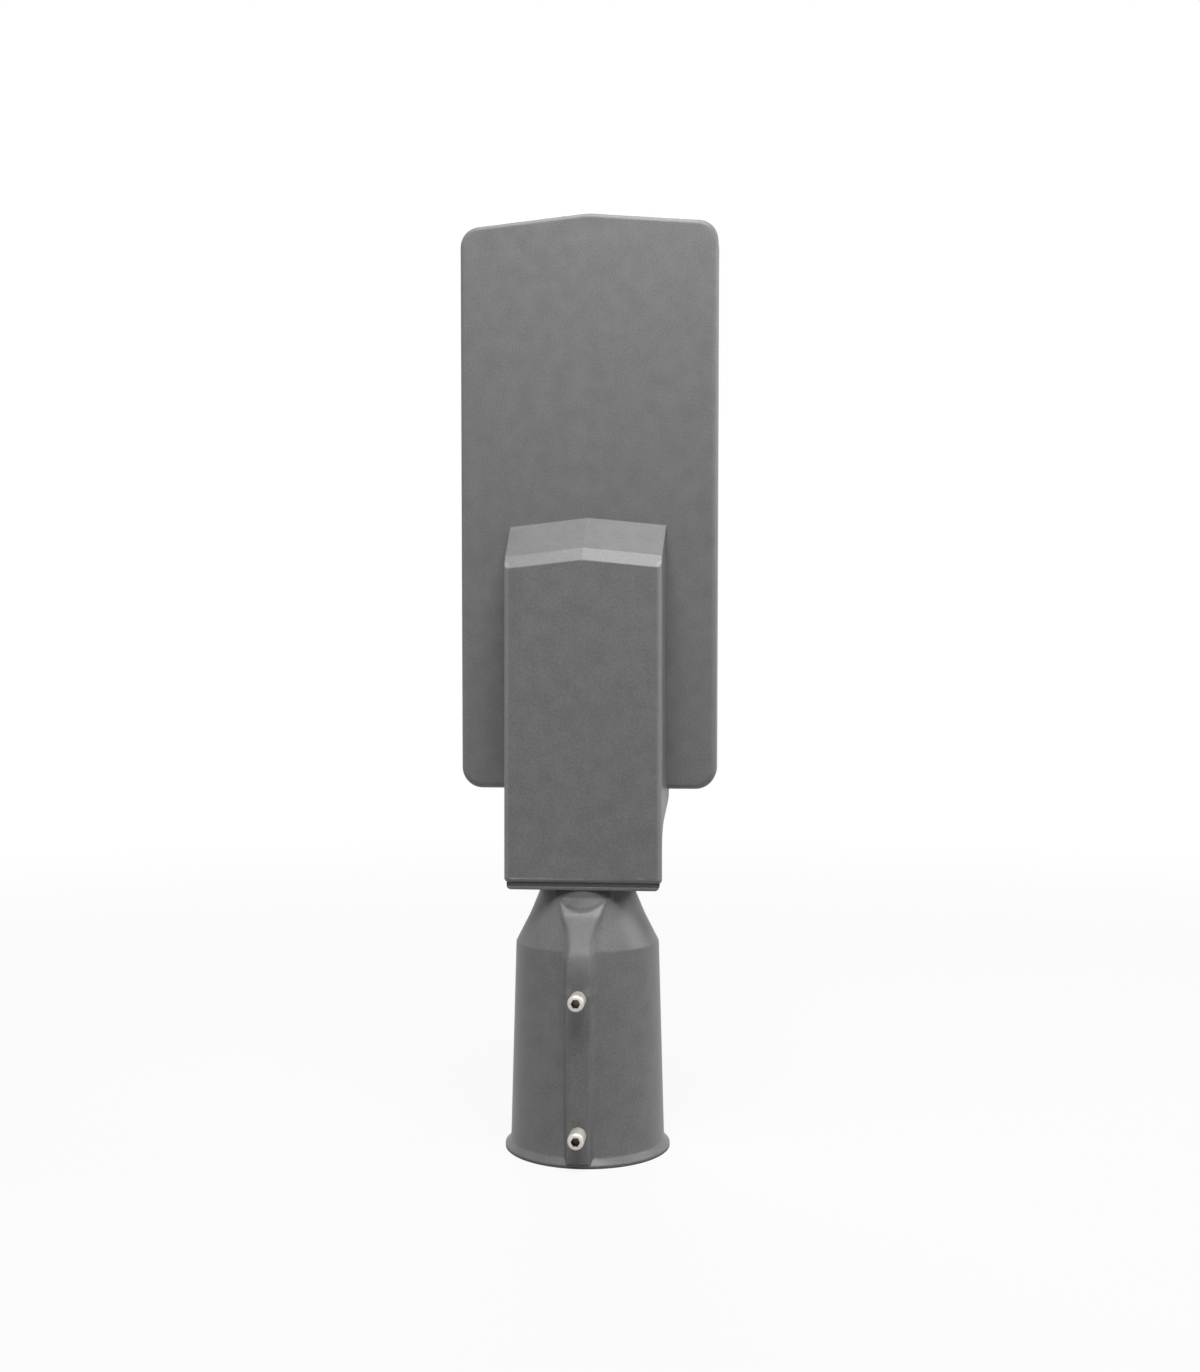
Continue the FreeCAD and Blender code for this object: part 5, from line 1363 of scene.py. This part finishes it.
@dataclass
class Vent(SubAssembly):
    """Pressure vent in the lid, with a notched and dished cap."""

    sides: int = 24
    taper: float = 0.86
    rim_round: float = 0.8 * MM
    notch_foot: float = 0.3
    notch_edge: float = 0.25 * MM
    notch_depth: float = 0.7 * MM
    dish_edge: float = 1.2 * MM
    dish_depth: float = 0.35 * MM
    shank_radius: float = 5.6 * MM
    thread_radius: float = 6.0 * MM
    thread_margin: float = 1.2 * MM
    pitch: float = 1.5 * MM
    ridge: float = 0.6 * MM

    def build(self) -> None:
        """Models the vent between its shank's end and its cap."""
        low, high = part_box("breather_vent")
        seat_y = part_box("breather_seal")[1].y
        end = low.y - seat_y
        cap = self.cap((high.x - low.x) / 2, high.y - seat_y)
        shank = column("shank", self.shank_radius, end, OVERLAP, self.sides)
        thread = coil("thread", self.thread_radius, end + self.thread_margin, -self.thread_margin, self.pitch,
                      self.ridge)
        vent = join([cap, shank, thread], "breather_vent_cap")
        smooth(vent, degrees=30.0)
        self.shop.paint.dress(vent, Finish.BLACK)
        place = Vector(((low.x + high.x) / 2, seat_y, (low.z + high.z) / 2))
        piece = put(vent, "breather_vent_moulding", place, Turn.LIGHT)
        bpy.data.objects.remove(vent)
        self.shop.hand_in(piece, Finish.BLACK, "breather_vent")

    def cap(self, radius: float, height: float) -> Piece:
        """Models the cap: every second side is notched, and the top is dished.

        Args:
            radius: its radius at the lid.
            height: its height over the lid.

        Returns:
            The cap.
        """
        cap = column("breather_vent_cap", radius, 0.0, height, self.sides)
        pick(cap, Pick.VERTICES, lambda point, _: point.z > height / 2)
        bpy.ops.transform.resize(value=(self.taper, self.taper, 1.0))
        soften(cap, rim_at(height), self.rim_round)
        pick(cap, Pick.FACES, lambda centre, normal: abs(normal.z) < LEVEL
             and centre.z > height * self.notch_foot
             and round(math.atan2(centre.y, centre.x) / (2 * math.pi) * self.sides - 0.5) % 2 == 0)
        bpy.ops.mesh.inset(thickness=self.notch_edge)
        bpy.ops.mesh.extrude_region_shrink_fatten(TRANSFORM_OT_shrink_fatten={"value": -self.notch_depth})
        pick(cap, Pick.FACES, lambda centre, normal: normal.z > FLAT)
        bpy.ops.mesh.inset(thickness=self.dish_edge)
        bpy.ops.mesh.extrude_region_move(TRANSFORM_OT_translate={"value": (0, 0, -self.dish_depth)})
        return cap


# Studio

WHITE = (1.0, 1.0, 1.0, 1.0)


@dataclass(frozen=True)
class Lamp:
    """Soft square lamp."""

    name: str
    place: Vector
    size: float
    watts: float

    def build(self, target: Vector) -> None:
        """Adds the lamp.

        Args:
            target: the point it looks at.
        """
        data = bpy.data.lights.new(self.name, "AREA")
        data.shape = "SQUARE"
        data.size = self.size
        data.energy = self.watts
        lamp = bpy.data.objects.new(self.name, data)
        lamp.location = self.place
        lamp.rotation_euler = (target - self.place).to_track_quat("-Z", "Y").to_euler()
        bpy.context.scene.collection.objects.link(lamp)


LAMPS = (
    Lamp("over_lamp", Vector((0.05, -0.35, 1.12)), size=0.6, watts=10.3),
    Lamp("near_lamp", Vector((0.10, -0.38, 0.75)), size=0.3, watts=0.75),
    Lamp("rim_lamp", Vector((0.80, 0.15, 0.60)), size=0.5, watts=2.6),
    Lamp("back_lamp", Vector((-0.15, 0.80, 1.15)), size=0.6, watts=8.0),
)


@dataclass
class Studio:
    """Pale floor, soft lamps, white surroundings and the photograph's camera."""

    middle: Vector = Vector((0.0, 0.0, 0.26))
    floor_half: float = 30.0
    floor_grey: float = 0.62
    ambient: float = 0.01
    white_share: float = 0.90
    white_near: float = 0.35
    white_far: float = 1.6
    focal_pixels: float = 1500.0
    frame_height: float = 1372.0
    sensor: float = 36.0
    nearest: float = 0.01
    camera_place: Vector = Vector((0.0849, -0.7465, 0.2289))
    camera_turn: float = 6.02

    def build(self) -> None:
        """Sets the whole studio up."""
        self.floor()
        self.surroundings()
        self.camera()
        for lamp in LAMPS:
            lamp.build(self.middle)
        bpy.context.scene.view_settings.view_transform = "Standard"

    def sight(self, graph: Graph) -> Value:
        """Value 1 for rays that a viewer, a mirror or glass sends.

        Args:
            graph: graph of the floor or the surroundings.

        Returns:
            The mask.
        """
        path = graph.add("ShaderNodeLightPath", output="Is Camera Ray")
        outputs = path.socket.node.outputs
        glossy = Value(graph, outputs["Is Glossy Ray"])
        through = Value(graph, outputs["Is Transmission Ray"])
        return path.highest(glossy).highest(through)

    def floor(self) -> None:
        """Pale floor that shows white and keeps the shadow."""
        deselect()
        bpy.ops.mesh.primitive_plane_add(size=2 * self.floor_half)
        floor = bpy.context.active_object
        floor.name = "floor"
        graph = graph_of("pale_floor")
        matt = graph.add("ShaderNodeBsdfDiffuse", inputs={"Color": (*(self.floor_grey,) * 3, 1.0)})
        bright = graph.add("ShaderNodeEmission", inputs={"Color": WHITE, "Strength": 1.0})
        x, y, _ = graph.axes()
        far = (x * x + y * y).root().between(self.white_near, self.white_far)
        share = self.sight(graph) * (far * (1.0 - self.white_share) + self.white_share)
        graph.close(graph.add("ShaderNodeMixShader", inputs={0: share, 1: matt, 2: bright}))
        floor.data.materials.append(graph.owner)

    def surroundings(self) -> None:
        """White to the eye and in gloss, soft grey as a source of light."""
        world = bpy.data.worlds.new("studio")
        bpy.context.scene.world = world
        graph = Graph(world)
        strength = self.sight(graph) * (1.0 - self.ambient) + self.ambient
        graph.close(graph.add("ShaderNodeBackground", inputs={"Color": WHITE, "Strength": strength}))

    def camera(self) -> None:
        """Camera at the photograph's place."""
        data = bpy.data.cameras.new("photo_camera")
        data.sensor_width = self.sensor
        data.lens = self.focal_pixels * self.sensor / self.frame_height
        data.clip_start = self.nearest
        camera = bpy.data.objects.new("photo_camera", data)
        camera.location = self.camera_place
        camera.rotation_euler = (math.pi / 2, 0.0, math.radians(self.camera_turn))
        bpy.context.scene.collection.objects.link(camera)
        bpy.context.scene.camera = camera


def empty_scene() -> None:
    """Removes the objects that a new file starts with."""
    for thing in list(bpy.data.objects):
        bpy.data.objects.remove(thing)


def main() -> None:
    """Builds the dressed part and its studio."""
    logging.basicConfig(level=logging.INFO, format="%(message)s")
    empty_scene()
    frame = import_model()
    shop = Workshop(frame["nodes"], Paint())
    for part in (Castings, ClampScrews, LightEngine, GearBay, CableEntry, Vent):
        part(shop).build()
        LOG.info("finished %s", part.__name__)
    Studio().build()
    object_mode()
    bpy.context.view_layer.update()


if __name__ == "__main__":
    main()
